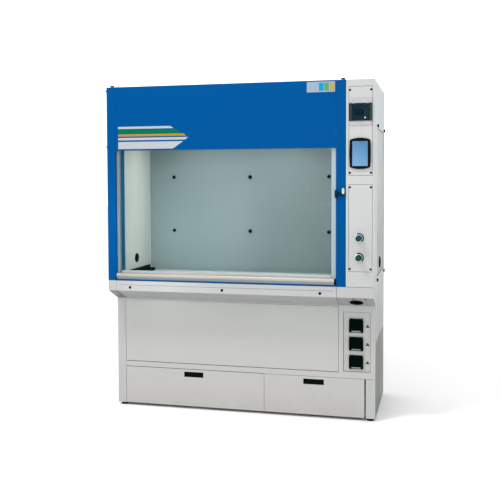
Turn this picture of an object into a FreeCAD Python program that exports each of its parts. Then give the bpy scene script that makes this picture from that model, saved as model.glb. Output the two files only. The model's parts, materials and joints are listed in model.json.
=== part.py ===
import FreeCAD, Part
import Sketcher
import math
import os
import re

# Walk-up fume hood on a drawer base, with a service column on its right.
# Millimetres. In this file x runs from the left side, y from the front face
# towards the back and z up from the floor. The datum helpers below move x and y
# so that the finished model stands on the centre of its own footprint.

DIMENSIONS = {
    # whole cabinet
    "width": 1800, "depth": 860, "height": 2210, "sheet": 2, "knob_reach": 52,
    "side_proud": 10, "foot_rise": 18, "seam": 2,
    # base cabinet
    "setback": 150, "base_top": 760, "side_seam": 512, "fascia_low": 832,
    "fascia_left": 55, "fascia_right": 1565, "edge_left": 77, "edge_right": 1541,
    "edge_proud": 1.5,
    "sill": 900, "edge_seam": 873, "base_stile": 60, "post_left": 1739,
    "rail_low": 278, "rail_high": 316, "panel_right": 1560, "panel_top": 753,
    "frame_front": 170, "frame_back": 850, "bar_low": 22, "bar_high": 860, "bar_wide": 30,
    "bar_thick": 3, "foot_inset": 34, "foot_front": 184, "foot_back": 826, "foot_rad": 24,
    "foot_collar": 15, "foot_step": 10, "stud_rad": 6, "pad_half": 28,
    "upright_left": 30, "upright_mid": 1041, "upright_right": 1729, "tray_fold": 18,
    # front frame and sash
    "stile": 62, "frame_right": 1560, "column_left": 1624, "top_panel_low": 1783,
    "rail_top": 911, "rail_deep": 56, "glass_front": 22, "glass": 6, "glass_top": 1835,
    "glass_left": 42, "glass_right": 1606, "lip": 30, "lip_left": 22, "lip_front": 14,
    "channel_rise": 57.5,
    "handle_low": 911.5, "handle_front": -14, "handle_back": 12,
    "handle_left": 63, "handle_right": 1559,
    # sash drive
    "belt_left": 38, "belt_right": 1592, "belt_wide": 16, "belt_thick": 3,
    "pulley_rad": 45, "flange_rad": 50, "pulley_y": 80.3, "pulley_high": 2172,
    "pulley_low": 960, "shaft_rad": 8, "shaft_gap": 0.05, "face_gap": 0.3,
    "shaft_left": 24, "shaft_right": 1619, "hanger_wide": 7, "weight_front": 130,
    "weight_back": 230, "weight_low": 1690, "weight_high": 2035, "weight_wide": 46,
    "stop_x": 1608, "stop_z": 1503,
    # chamber
    "chamber_left": 60, "chamber_right": 1562, "worktop_top": 905, "worktop_thick": 20,
    "baffle_y": 650, "baffle_low": 912, "baffle_high": 1880, "baffle_thick": 4,
    "ceiling": 1900, "ceiling_front": 150, "ceiling_back": 640,
    "lamp_left": 300, "lamp_right": 1322, "lamp_front": 250, "lamp_back": 400,
    "rim_rise": 5, "rim_deep": 12, "sink_right": 112, "sink_front": 196, "sink_back": 612,
    "sink_rise": 20, "upstand_rise": 43, "upstand_thick": 8, "spout_x": 84, "spout_y": 560,
    "spout_rad": 15.5, "spout_bore": 12,
    # exhaust
    "duct_x": 812, "duct_y": 430, "duct_rad": 125, "duct_top": 2245, "duct_low": 2125,
    "duct_step": 2212, "duct_wall": 3,
    "fan_rad": 150, "fan_low": 1925, "fan_wall": 3, "motor_rad": 48, "motor_low": 2030,
    "motor_high": 2108, "strut_z": 2065, "hub_rad": 44, "hub_low": 1945, "hub_step": 1975,
    "hub_high": 2015, "blade_root": 32, "blade_z": 1972, "blade_thick": 3, "blade_tall": 50,
    # drawers
    "drawer_low": 20, "drawer_high": 276, "drawer_split": 1056, "drawer_right": 1729,
    "box_low": 60, "box_high": 230, "box_back": 720, "pull_wide": 138,
    "pull_low": 223, "pull_tall": 36, "pull_deep": 22, "front_deep": 16,
    "left_box_start": 81, "left_box_end": 1020, "right_box_start": 1092,
    "right_box_end": 1708, "member_wide": 10.5, "member_low": 116, "member_high": 140,
    "runner_front": 202, "runner_back": 800, "runner_gap": 0.5, "runner_wide": 10,
    # service column
    "door_left": 1640, "door_right": 1790, "upper_low": 1607, "upper_high": 2167,
    "lower_low": 999, "lower_high": 1553, "valve_x": 1707, "valve_high": 1214,
    "valve_low": 1090, "screen_x": 1712, "screen_z": 1746, "screen_wide": 134,
    "screen_tall": 196, "bow_side": 5, "bow_end": 13, "pane_left": 47.5, "pane_right": 48.5,
    "pane_below": 78.5, "pane_above": 76.5,
    "breaker_left": 1656.5, "breaker_right": 1773.5, "breaker_low": 1929,
    "breaker_high": 2086, "frame_over": 14.5, "frame_above": 6, "frame_thick": 4,
    "box_deep": 72, "flap_left": 1642.5, "flap_end": 1785.5, "flap_low": 1950,
    "flap_pivot": 2058.5, "module_low": 1962, "module_high": 2042,
    # sockets
    "bay_left": 1590, "bay_right": 1767, "bay_low": 322, "bay_high": 717, "bay_fold": 6,
    "socket_x": 1674.5, "socket_top_z": 630, "socket_pitch": 120, "socket_half": 47,
    "socket_body": 40, "socket_deep": 52, "well_rad": 21, "ear_wide": 3, "lid_thick": 9,
    # side access cover and ports
    "cover_front": 240, "cover_back": 820, "cover_low": 940, "cover_high": 1920,
    "lap_side": 15, "lap_low": 35, "lap_high": 30, "turn_rad": 11, "turn_face": 9,
    "port_rim": 4,
    "port_y": 457, "port_z": 1018, "port_rad": 38, "port_bore": 27,
    "slope_port_x": 1683, "slope_port_rad": 44, "slope_port_bore": 34,
    "plug_y": 360, "plug_z": 1021, "plug_rad": 33,
}

DOC = FreeCAD.newDocument("fume_hood")
SHEET = DOC.addObject("Spreadsheet::Sheet", "Dims")
for row, (alias, value) in enumerate(DIMENSIONS.items(), start=1):
    SHEET.set("A%d" % row, alias)
    SHEET.set("B%d" % row, str(value))
    SHEET.setAlias("B%d" % row, alias)
DOC.recompute()

WORD = re.compile(r"[a-z_]+")
NODES = []


def link(text):
    """Turn the aliases in a size such as 'width - 2*sheet' into cell references."""
    return WORD.sub(
        lambda m: "Dims." + m.group(0) if m.group(0) in DIMENSIONS else m.group(0), str(text))


def value(text):
    """The number that a size such as 'width - 2*sheet' stands for."""
    return float(SHEET.evalExpression(link(text)))


def model_x(text):
    return "(%s) - width/2" % text


def model_y(text):
    return "(%s) - (depth - knob_reach)/2" % text


def bind(thing, **sizes):
    for name, size in sizes.items():
        thing.setExpression(name, link(size))


def place(thing, x, y, z):
    for axis, size in (("x", model_x(x)), ("y", model_y(y)), ("z", z)):
        thing.setExpression("Placement.Base." + axis, link(size))


def block(x, y, z):
    """A box between two limits on each axis."""
    thing = DOC.addObject("Part::Box", "Block")
    bind(thing, Length="(%s) - (%s)" % (x[1], x[0]), Width="(%s) - (%s)" % (y[1], y[0]),
         Height="(%s) - (%s)" % (z[1], z[0]))
    place(thing, x[0], y[0], z[0])
    return thing


TURNS = {
    "x": FreeCAD.Rotation(FreeCAD.Vector(0, 1, 0), 90),
    "y": FreeCAD.Rotation(FreeCAD.Vector(1, 0, 0), -90),
    "z": FreeCAD.Rotation(),
}


def rod(axis, at, radius, span):
    """A cylinder along x, y or z: 'at' is its axis on the other two, in order."""
    thing = DOC.addObject("Part::Cylinder", "Rod")
    bind(thing, Radius=radius, Height="(%s) - (%s)" % (span[1], span[0]))
    thing.Placement = FreeCAD.Placement(FreeCAD.Vector(), TURNS[axis])
    spot = list(at)
    spot.insert("xyz".index(axis), span[0])
    place(thing, *spot)
    return thing


def taper(axis, at, radii, span):
    """A cone frustum along x, y or z, placed like a rod."""
    thing = DOC.addObject("Part::Cone", "Taper")
    bind(thing, Radius1=radii[0], Radius2=radii[1], Height="(%s) - (%s)" % (span[1], span[0]))
    thing.Placement = FreeCAD.Placement(FreeCAD.Vector(), TURNS[axis])
    spot = list(at)
    spot.insert("xyz".index(axis), span[0])
    place(thing, *spot)
    return thing


def fuse(*things):
    if len(things) == 1:
        return things[0]
    joined = DOC.addObject("Part::MultiFuse", "Fuse")
    joined.Shapes = list(things)
    joined.Refine = True
    return joined


def common(*things):
    shared = DOC.addObject("Part::MultiCommon", "Common")
    shared.Shapes = list(things)
    return shared


def cut(base, *tools):
    cutting = DOC.addObject("Part::Cut", "Cut")
    cutting.Base = base
    cutting.Tool = fuse(*tools)
    cutting.Refine = True
    return cutting


def group(*things):
    """Separate solids that share one node."""
    several = DOC.addObject("Part::Compound", "Group")
    several.Links = list(things)
    return several


def rounded(thing, radius, axis):
    """Round the edges of a solid that run straight along one axis."""
    DOC.recompute()
    direction = {"x": 0, "y": 1, "z": 2}[axis]
    chosen = []
    for number, edge in enumerate(thing.Shape.Edges, start=1):
        if edge.Curve.TypeId == "Part::GeomLine":
            tangent = edge.tangentAt(edge.FirstParameter)
            if abs(abs(tangent[direction]) - 1) < 1e-6:
                chosen.append((number, value(radius), value(radius)))
    softened = DOC.addObject("Part::Fillet", "Rounded")
    softened.Base = thing
    softened.Edges = chosen
    return softened


def profile(label, points, x):
    """A PartDesign body: an outline of (y, z) points, padded from x[0] to x[1]."""
    body = DOC.addObject("PartDesign::Body", label)
    sketch = body.newObject("Sketcher::SketchObject", label + "_outline")
    plane = [f for f in body.Origin.OriginFeatures if f.Role == "YZ_Plane"][0]
    sketch.AttachmentSupport = (plane, "")
    sketch.MapMode = "FlatFace"
    sketch.setExpression("AttachmentOffset.Base.z", link(model_x(x[0])))
    corners = [FreeCAD.Vector(value(model_y(y)), value(z), 0) for y, z in points]
    for here, there in zip(corners, corners[1:] + corners[:1]):
        sketch.addGeometry(Part.LineSegment(here, there), False)
    count = len(points)
    for side in range(count):
        sketch.addConstraint(Sketcher.Constraint("Coincident", side, 2, (side + 1) % count, 1))
    for side, (y, z) in enumerate(points):
        for kind, size in (("DistanceX", model_y(y)), ("DistanceY", z)):
            number = sketch.addConstraint(
                Sketcher.Constraint(kind, -1, 1, side, 1, value(size)))
            sketch.setExpression("Constraints[%d]" % number, link(size))
    pad = body.newObject("PartDesign::Pad", label + "_pad")
    pad.Profile = sketch
    pad.setExpression("Length", link("(%s) - (%s)" % (x[1], x[0])))
    return body


def node(label, thing):
    """Name a finished sub-part."""
    thing.Label = label
    NODES.append(thing)
    return thing


# ---------------------------------------------------------------- outer casing

SLOPE = "((fascia_low - base_top)/setback)"
SLOPE_RISE = "(sheet*sqrt(1 + %s*%s))" % (SLOPE, SLOPE)
FASCIA_INNER_FRONT = "fascia_low - %s*sheet + %s" % (SLOPE, SLOPE_RISE)
FASCIA_INNER_BACK = "base_top + " + SLOPE_RISE


def side_outline():
    """The upper side panel seen from the side, with its toe slope at the front."""
    front, back = "setback + sheet", "depth - sheet"
    return [("sheet", FASCIA_INNER_FRONT), ("setback", FASCIA_INNER_BACK),
            (front, FASCIA_INNER_BACK), (front, "side_seam + seam"),
            (back, "side_seam + seam"), (back, "height - sheet"), ("sheet", "height - sheet")]


def side_panels():
    node("left_side_panel", profile("LeftSide", side_outline(), ("0", "sheet")))
    plain = profile("RightSide", side_outline(), ("width - sheet", "width"))
    window = block(("width - 5*sheet", "width + sheet"), ("cover_front", "cover_back"),
                   ("cover_low", "cover_high"))
    node("right_side_panel", cut(plain, window))


def access_cover():
    """The lift-out cover lies behind the side panel's opening and has a cable port."""
    plate = block(("width - 2*sheet", "width - sheet"),
                  ("cover_front - lap_side", "cover_back + lap_side"),
                  ("cover_low - lap_low", "cover_high + lap_high"))
    hole = rod("x", ("port_y", "port_z"), "port_rad - port_rim", ("width - 3*sheet", "width"))
    node("right_access_cover", cut(plate, hole))


def side_fixings():
    """Thumb turns that hold the access cover, and two dome screws on the left side."""
    pieces = []
    for y in ("cover_front + 6", "cover_back - 5"):
        for z in ("cover_low - 20", "cover_high + 14"):
            pieces.append(fuse(
                taper("x", (y, z), ("turn_rad", "turn_face"), ("width", "width + side_proud - 4")),
                rod("x", (y, z), "turn_face", ("width + side_proud - 4", "width + side_proud"))))
    for z in ("height - 24", "top_panel_low + 26"):
        pieces.append(taper("x", ("10", z), ("4", "6"), ("-side_proud", "0")))
    node("side_fixings", group(*pieces))


def fascia(label, left, right, top):
    """Folded sheet: upright front edge, then the slope back to the base front."""
    outline = [("0", top), ("0", "fascia_low"), ("setback", "base_top"),
               ("setback", FASCIA_INNER_BACK), ("sheet", FASCIA_INNER_FRONT), ("sheet", top)]
    return profile(label, outline, (left, right))


def across_slope(x, along, radius, outside, inside):
    """A cylinder square to the fascia's slope, centred 'along' of the way down it."""
    thing = DOC.addObject("Part::Cylinder", "Slanted")
    angle = math.atan2(value("fascia_low - base_top"), value("setback"))
    normal = FreeCAD.Vector(0, -math.sin(angle), -math.cos(angle))
    bind(thing, Radius=radius, Height="(%s) + (%s)" % (outside, inside))
    turn = FreeCAD.Rotation(FreeCAD.Vector(0, 0, 1), normal)
    y = "setback*%s + (%s)*%.9f" % (along, inside, -normal.y)
    z = "fascia_low - (fascia_low - base_top)*%s + (%s)*%.9f" % (along, inside, -normal.z)
    thing.Placement = FreeCAD.Placement(FreeCAD.Vector(), turn)
    place(thing, x, y, z)
    return thing


SLOPE_PORT_AT = "0.56"


def fascias():
    node("fascia_left_end", fascia("FasciaEnd", "0", "fascia_left", "sill"))
    main = fascia("FasciaMain", "fascia_left + seam", "fascia_right - seam", "sill")
    lip = block(("edge_left", "edge_right"), ("-edge_proud", "0"), ("edge_seam", "sill"))
    node("front_fascia", fuse(main, lip))
    column = fascia("FasciaColumn", "fascia_right", "width", "sill")
    hole = across_slope("slope_port_x", SLOPE_PORT_AT, "slope_port_rad - port_rim", "10", "10")
    node("column_fascia", cut(column, hole))


def rear_panel():
    node("rear_panel", block(("0", "width"), ("depth - sheet", "depth"), ("foot_rise", "height")))


# ---------------------------------------------------------------- base cabinet

def base_sides():
    sides = (("left_base_side", ("0", "sheet"), ("0", "base_stile"), "base_top"),
             ("right_base_side", ("width - sheet", "width"), ("post_left", "width"),
              "rail_low - seam"))
    for label, skin, flange, top in sides:
        plate = block(skin, ("setback + sheet", "depth - sheet"), ("foot_rise", "side_seam - seam"))
        front = block(flange, ("setback", "setback + sheet"), ("foot_rise", top))
        node(label, fuse(plate, front))


SOCKET_BAY = (("bay_left", "bay_right"), ("bay_low", "bay_high"))


def base_face():
    """The flush face: rail over the drawers, with the socket bay beside the big panel."""
    depth = ("setback", "setback + sheet")
    cutter = ("setback - 5", "setback + 15")
    face = block(("base_stile", "width"), depth, ("rail_low", "base_top"))
    panel = block(("base_stile - 1", "panel_right"), cutter, ("rail_high", "panel_top"))
    bay = block(SOCKET_BAY[0], cutter, SOCKET_BAY[1])
    node("base_face_frame", cut(face, panel, bay))
    tray = block(("base_stile + seam", "panel_right - seam"), ("setback", "setback + tray_fold"),
                 ("rail_high + seam", "panel_top - seam"))
    inside = block(("base_stile + 4", "panel_right - 4"), ("setback + sheet", "setback + tray_fold + 2"),
                   ("rail_high + 4", "panel_top - 4"))
    node("base_front_panel", cut(tray, inside))


def socket_heights():
    return ["socket_top_z - %d*socket_pitch" % step for step in range(3)]


def sockets():
    """Inset panel with three flush sockets, each under a sprung splash lid."""
    inset = block(("bay_left - bay_fold", "bay_right + bay_fold"),
                  ("setback + sheet", "setback + 8"),
                  ("bay_low - bay_fold", "bay_high + bay_fold"))
    face = block(("bay_left - sheet", "bay_right + sheet"), ("setback", "setback + 6"),
                 ("bay_low - sheet", "bay_high + sheet"))
    holes = []
    bodies = []
    for number, z in enumerate(socket_heights(), start=1):
        low, high = "%s - socket_half" % z, "%s + socket_half" % z
        left, right = "socket_x - socket_half", "socket_x + socket_half"
        body = ("socket_x - socket_body", "socket_x + socket_body")
        tall = ("%s - socket_body" % z, "%s + socket_body" % z)
        holes.append(block(body, ("setback", "setback + 20"), tall))
        flange = block((left, right), ("setback", "setback + 6"), (low, high))
        back = block(body, ("setback + 6", "setback + socket_deep"), tall)
        ears = [block(x, ("setback - 10", "setback"), ("%s + 37" % z, high))
                for x in ((left, left + " + ear_wide"), (right + " - ear_wide", right))]
        well = rod("y", ("socket_x", "%s - 4" % z), "well_rad", ("setback - 1", "setback + 16"))
        bodies.append(cut(fuse(flange, back, *ears), well))
        plate = rounded(block((left + " + 0.5", right + " - 0.5"),
                              ("setback - lid_thick - 0.5", "setback - 0.5"),
                              (low, "%s + 36" % z)), "7", "y")
        notch = block(("socket_x - 31", "socket_x + 31"), ("setback - 20", "setback + 1"),
                      ("%s - 1" % low, "%s + 13" % low))
        barrel = rod("x", ("setback - 5", "%s + 41" % z), "4",
                     (left + " + 3.5", right + " - 3.5"))
        leaf = block((left + " + 8", right + " - 8"), ("setback - 9", "setback - 1"),
                     ("%s + 30" % z, "%s + 41" % z))
        node("socket_lid_%d" % number, cut(fuse(plate, leaf, barrel), notch))
    node("socket_panel", cut(inset, face, *holes))
    node("socket_bodies", group(*bodies))


UPRIGHTS = ("upright_left", "upright_mid", "upright_right")
FEET = [(x, y) for x in ("foot_inset", "width - foot_inset")
        for y in ("foot_front", "foot_back")]


def base_frame():
    """Angle uprights, flat bars and foot plates, butted together at their ends."""
    bars = []
    runner_low = "bar_low + 3*bar_wide"
    tall = ("bar_low", "bar_high")
    levels = ("bar_low", "bar_high - bar_wide")
    between = ("frame_front + bar_wide", "frame_back - bar_wide")
    faces = ((between[0] + " - bar_thick", between[0]), (between[1], between[1] + " + bar_thick"))
    for x in UPRIGHTS:
        web = (x + " + bar_wide - bar_thick", x + " + bar_wide")
        flange = (x, web[0])
        for deep, face in ((("frame_front", between[0]), faces[0]),
                           ((between[1], "frame_back"), faces[1])):
            bars.append(block(web, deep, tall))
            bars.append(block(flange, face, tall))
        for low in (*levels, runner_low):
            bars.append(block(web, between, (low, low + " + bar_wide")))
        bars.append(block(flange, between, (runner_low, runner_low + " + bar_thick")))
    for left, right in zip(UPRIGHTS, UPRIGHTS[1:]):
        for face in faces:
            for low in levels:
                bars.append(block((left + " + bar_wide", right), face, (low, low + " + bar_wide")))
    for x, y in FEET:
        pad = block((x + " - pad_half", x + " + pad_half"), (y + " - pad_half", y + " + pad_half"),
                    ("foot_rise", "bar_low"))
        bars.append(cut(pad, rod("z", (x, y), "stud_rad", ("foot_rise - 1", "bar_low + 1"))))
    node("base_frame", group(*bars))


def levelling_feet():
    feet = []
    for x, y in FEET:
        feet.append(fuse(
            taper("z", (x, y), ("foot_rad", "foot_rad - 3"), ("0", "foot_step")),
            rod("z", (x, y), "foot_collar", ("foot_step", "foot_rise")),
            rod("z", (x, y), "stud_rad", ("foot_rise", "bar_low"))))
    node("levelling_feet", group(*feet))


def drawers():
    """Each drawer is one welded tray: front, box and its sliding runner members."""
    spans = (("left_drawer", "base_stile + seam", "drawer_split - seam/2",
              "left_box_start", "left_box_end"),
             ("right_drawer", "drawer_split + seam/2", "drawer_right",
              "right_box_start", "right_box_end"))
    fixed = []
    for label, left, right, inner_left, inner_right in spans:
        face = block((left, right), ("setback", "setback + front_deep"),
                     ("drawer_low", "drawer_high"))
        relief = block((left + " + 2", right + " - 2"), ("setback + sheet", "setback + front_deep + 1"),
                       ("drawer_low + 2", "drawer_high - 2"))
        tray = block((inner_left, inner_right), ("setback + sheet", "box_back"),
                     ("box_low", "box_high"))
        hollow = block((inner_left + " + 2", inner_right + " - 2"),
                       ("setback + sheet", "box_back - 2"), ("box_low + 2", "box_high + 1"))
        members = [block(x, ("runner_front", "box_back"), ("member_low", "member_high"))
                   for x in ((inner_left + " - member_wide", inner_left),
                             (inner_right, inner_right + " + member_wide"))]
        middle = "((%s) + (%s))/2" % (left, right)
        mouth = (middle + " - pull_wide/2", middle + " + pull_wide/2")
        tall = ("pull_low", "pull_low + pull_tall")
        hole = block(mouth, ("setback - 1", "setback + 5"), tall)
        shell = fuse(cut(face, relief), cut(tray, hollow), *members)
        node(label, cut(shell, hole))
        cup = block(mouth, ("setback", "setback + pull_deep"), tall)
        scoop = block((mouth[0] + " + 2", mouth[1] + " - 2"),
                      ("setback - 1", "setback + pull_deep - 2"),
                      ("pull_low + 2", "pull_low + pull_tall - 2"))
        node(label + "_pull", cut(cup, scoop))
        near, far = "member_wide + runner_gap", "member_wide + runner_gap + runner_wide"
        for x in (("%s - (%s)" % (inner_left, far), "%s - (%s)" % (inner_left, near)),
                  ("%s + %s" % (inner_right, near), "%s + %s" % (inner_right, far))):
            fixed.append(block(x, ("runner_front", "runner_back"),
                               ("member_low - 1", "member_high + 1")))
    node("drawer_runners", group(*fixed))


# ------------------------------------------------------------ chamber and sill

def worktop():
    slab = block(("chamber_left + 1", "chamber_right - 1"), ("rail_deep + 2", "depth - 6"),
                 ("worktop_top - worktop_thick", "worktop_top"))
    rim = block(("chamber_left + 1", "chamber_right - 1"), ("rail_deep + 2", "rail_deep + 2 + rim_deep"),
                ("worktop_top", "worktop_top + rim_rise"))
    spout = rod("z", ("spout_x", "spout_y"), "spout_rad + 0.5", ("860", "worktop_top + 1"))
    node("worktop", cut(fuse(slab, rim), spout))


def cup_sink():
    """Long drip cup with a wall upstand along the foot of the left wall, and its outlet."""
    left, right, front, back = "chamber_left + 2", "sink_right", "sink_front", "sink_back"
    top = "worktop_top + sink_rise"
    bowl = rounded(block((left, right), (front, back), ("worktop_top", top)), "14", "z")
    hollow = rounded(block((left + " + 8", right + " - 4"), (front + " + 4", back + " - 4"),
                           ("worktop_top + 4", top + " + 1")), "10", "z")
    upstand = rounded(block((left, left + " + upstand_thick"), (front + " + 14", back),
                            ("worktop_top", "worktop_top + upstand_rise")), "12", "x")
    spout = rod("z", ("spout_x", "spout_y"), "spout_rad", ("840", "worktop_top + 2"))
    bore = rod("z", ("spout_x", "spout_y"), "spout_bore", ("839", "worktop_top + 5"))
    node("cup_sink", cut(fuse(cut(bowl, hollow), upstand, spout), bore))


def chamber_walls():
    high = ("sill", "pulley_high - flange_rad - 2")
    left = block(("chamber_left - sheet", "chamber_left"), ("37", "depth - sheet"), high)
    port = rod("x", ("plug_y", "plug_z"), "plug_rad - port_rim", ("40", "70"))
    right = block(("chamber_right", "chamber_right + sheet"), ("37", "depth - sheet"), high)
    node("chamber_side_walls", group(cut(left, port), right))


BAFFLE_KNOBS = [(x, z) for z in ("1605", "1206") for x in ("253", "842", "1424")]


def baffle():
    node("rear_baffle", block(("chamber_left + 1", "chamber_right - 1"),
                              ("baffle_y", "baffle_y + baffle_thick"), ("baffle_low", "baffle_high")))
    knobs = []
    for x, z in BAFFLE_KNOBS:
        knobs.append(fuse(rod("y", (x, z), "7", ("baffle_y - 5", "baffle_y")),
                          taper("y", (x, z), ("11", "13"), ("baffle_y - 16", "baffle_y - 5"))))
    node("baffle_knobs", group(*knobs))


def ceiling():
    """Chamber ceiling with an upstand behind the sash and a flush light panel."""
    plate = block(("chamber_left", "chamber_right"), ("ceiling_front", "ceiling_back"),
                  ("ceiling", "ceiling + sheet"))
    upstand = block(("chamber_left", "chamber_right"), ("ceiling_front", "ceiling_front + sheet"),
                    ("ceiling + sheet", "height - 60"))
    light = (("lamp_left", "lamp_right"), ("lamp_front", "lamp_back"))
    window = block(light[0], light[1], ("ceiling - 5", "ceiling + 5"))
    node("chamber_ceiling", cut(fuse(plate, upstand), window))
    node("lamp_panel", block(light[0], light[1], ("ceiling - 2", "ceiling + 8")))


# --------------------------------------------------------- front frame and sash

def front_frame():
    """Welded U frame: two stiles joined by the low sill rail, then the top panel."""
    skin = ("0", "sheet")
    high = ("sill", "height")
    left = block(("0", "stile"), skin, high)
    right = block(("frame_right", "column_left"), skin, high)
    rail_front = block(("stile", "frame_right"), skin, ("sill", "rail_top"))
    rail_top = block(("stile", "frame_right"), ("0", "rail_deep"), ("rail_top - sheet", "rail_top"))
    returns = [block(x, ("sheet", "lip_front"), ("sill", "height - 14"))
               for x in (("stile - sheet", "stile"), ("frame_right", "frame_right + sheet"))]
    node("front_frame", fuse(left, right, rail_front, rail_top, *returns))
    sides = ("stile + 0.5", "frame_right - 0.5")
    face = block(sides, skin, ("top_panel_low", "height"))
    folds = [block(sides, ("sheet", "lip_front - 1"), z)
             for z in (("top_panel_low", "top_panel_low + sheet"),
                       ("height - 2*sheet", "height - sheet"))]
    node("top_panel", fuse(face, *folds))


def sash_tracks():
    lips = []
    for x in (("stile", "stile + lip_left"), ("frame_right - lip", "frame_right")):
        lips.append(block(x, ("lip_front", "glass_front - 1.5"), ("rail_top", "glass_top")))
        lips.append(block(x, ("glass_front + glass + 1.5", "37"), ("rail_top", "glass_top")))
    node("sash_tracks", group(*lips))


def sash():
    node("sash_glass", block(("glass_left", "glass_right"),
                             ("glass_front", "glass_front + glass"), ("rail_top + 4", "glass_top")))
    z = ["handle_low + %g" % rise for rise in (0, 5, 15, 19, 34, 40)]
    grip = profile("Grip", [
        ("handle_back", z[0]), ("handle_front + 12", z[0]), ("handle_front + 10", z[1]),
        ("handle_front + 2", z[2]), ("handle_front", z[3]), ("handle_front", z[4]),
        ("handle_front + 5", z[5]), ("handle_back", z[5])],
        ("handle_left + 2", "handle_right - 8"))
    inner = ("stile + lip + 2", "frame_right - lip - 2")
    channel = block(inner, ("handle_back", "glass_front + glass + 5"),
                    ("handle_low", "handle_low + channel_rise"))
    slot = block(("stile", "frame_right"), ("glass_front", "glass_front + glass"),
                 ("rail_top + 4", "rail_top + 90"))
    node("sash_handle", cut(fuse(grip, channel), slot))
    caps = [block(x, ("handle_front", "handle_back"), (z[0], z[5]))
            for x in (("handle_left", "handle_left + 2"), ("handle_right - 8", "handle_right"))]
    clamps = [block((x, x + " + belt_wide - 4"),
                    ("glass_front + glass", "pulley_y - pulley_rad - belt_thick - 2*face_gap - 0.1"),
                    ("945", "1005")) for x in ("belt_left + 4", "belt_right + 2")]
    node("sash_end_fittings", group(*(caps + clamps)))


def belt_loop(x, grow, span):
    """A racetrack solid round both pulleys, 'grow' outside the pulley's rim."""
    radius = "pulley_rad + %s" % grow
    return fuse(
        rod("x", ("pulley_y", "pulley_high"), radius, span),
        rod("x", ("pulley_y", "pulley_low"), radius, span),
        block(span, ("pulley_y - (%s)" % radius, "pulley_y + (%s)" % radius),
              ("pulley_low", "pulley_high")))


def pulley(x, z):
    return fuse(
        rod("x", ("pulley_y", z), "pulley_rad", (x + " - 2", x + " + belt_wide + 2")),
        rod("x", ("pulley_y", z), "flange_rad", (x + " - 2", x + " - face_gap")),
        rod("x", ("pulley_y", z), "flange_rad",
            (x + " + belt_wide + face_gap", x + " + belt_wide + 2")))


def sash_drive():
    """Two toothless belts, their pulleys on one cross shaft, and the counterweights."""
    belts = []
    for x in ("belt_left", "belt_right"):
        outer = belt_loop(x, "face_gap + belt_thick", (x, x + " + belt_wide"))
        inner = belt_loop(x, "face_gap", (x + " - 1", x + " + belt_wide + 1"))
        belts.append(cut(outer, inner))
    node("drive_belts", group(*belts))
    shaft = rod("x", ("pulley_y", "pulley_high"), "shaft_rad", ("shaft_left", "shaft_right"))
    node("cross_shaft", fuse(shaft, pulley("belt_left", "pulley_high"),
                             pulley("belt_right", "pulley_high")))
    idlers = []
    for x in ("belt_left", "belt_right"):
        stub = rod("x", ("pulley_y", "pulley_low"), "shaft_rad",
                   (x + " - 8", x + " + belt_wide + 3"))
        idlers.append(fuse(pulley(x, "pulley_low"), stub))
    node("idler_pulleys", group(*idlers))
    weights = [block((x, x + " + weight_wide"), ("weight_front", "weight_back"),
                     ("weight_low", "weight_high"))
               for x in ("belt_left - 30", "belt_right - 22")]
    node("counterweights", group(*weights))


STOP_PIVOT = ("stop_x", "stop_z")


def sash_stop():
    """Swing-away stop on the right stile: a black T arm and its pale finger plate."""
    bar = block(("1554", "1570"), ("-16", "-2"), ("1467", "1517"))
    arm = block(("1568", "1612"), ("-12", "-3"), ("1480", "1504"))
    boss = rod("y", STOP_PIVOT, "9", ("-12", "-0.5"))
    node("sash_stop", fuse(bar, arm, boss))
    tab = rounded(block(("1600", "1616"), ("-18", "-12"), ("1491", "1529")), "7.5", "y")
    node("sash_stop_tab", tab)


# ------------------------------------------------------------- top and exhaust

def top_deck():
    """Top sheet with its slots, shaft hangers, duct collar and two lugs at the front."""
    plate = block(("0", "width"), ("sheet", "depth - sheet"), ("height - sheet", "height"))
    slot = block(("36", "1612"), ("lip_front - 1.5", "glass_front + glass + 4"),
                 ("height - 10", "height + 10"))
    pits = [block((x + " - 4", x + " + belt_wide + 4"), ("20", "136"),
                  ("height - 10", "height + 10")) for x in ("belt_left", "belt_right")]
    hangers = [block(x, ("60", "100"), ("2150", "height - sheet"))
               for x in (("shaft_left", "shaft_left + hanger_wide"),
                         ("shaft_right - hanger_wide + 0.5", "shaft_right"))]
    bores = rod("x", ("pulley_y", "pulley_high"), "shaft_rad + shaft_gap",
                ("shaft_left - 14", "shaft_right + 4"))
    centre = ("duct_x", "duct_y")
    collar = fuse(rod("z", centre, "duct_rad", ("duct_step", "duct_top")),
                  rod("z", centre, "duct_rad - 1", ("duct_low", "duct_step")))
    throat = rod("z", centre, "duct_rad - duct_wall", ("duct_low - 1", "duct_top + 1"))
    lugs = [rounded(block((x, x + " + 24"), ("sheet + 1", "lip_front - 3"),
                          ("height", "height + 11")), "4", "y") for x in ("28", "1592")]
    sheet_metal = cut(plate, slot, *pits)
    bearing_plates = cut(fuse(*hangers), bores)
    node("top_deck", cut(fuse(sheet_metal, bearing_plates, collar, *lugs), throat))


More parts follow.
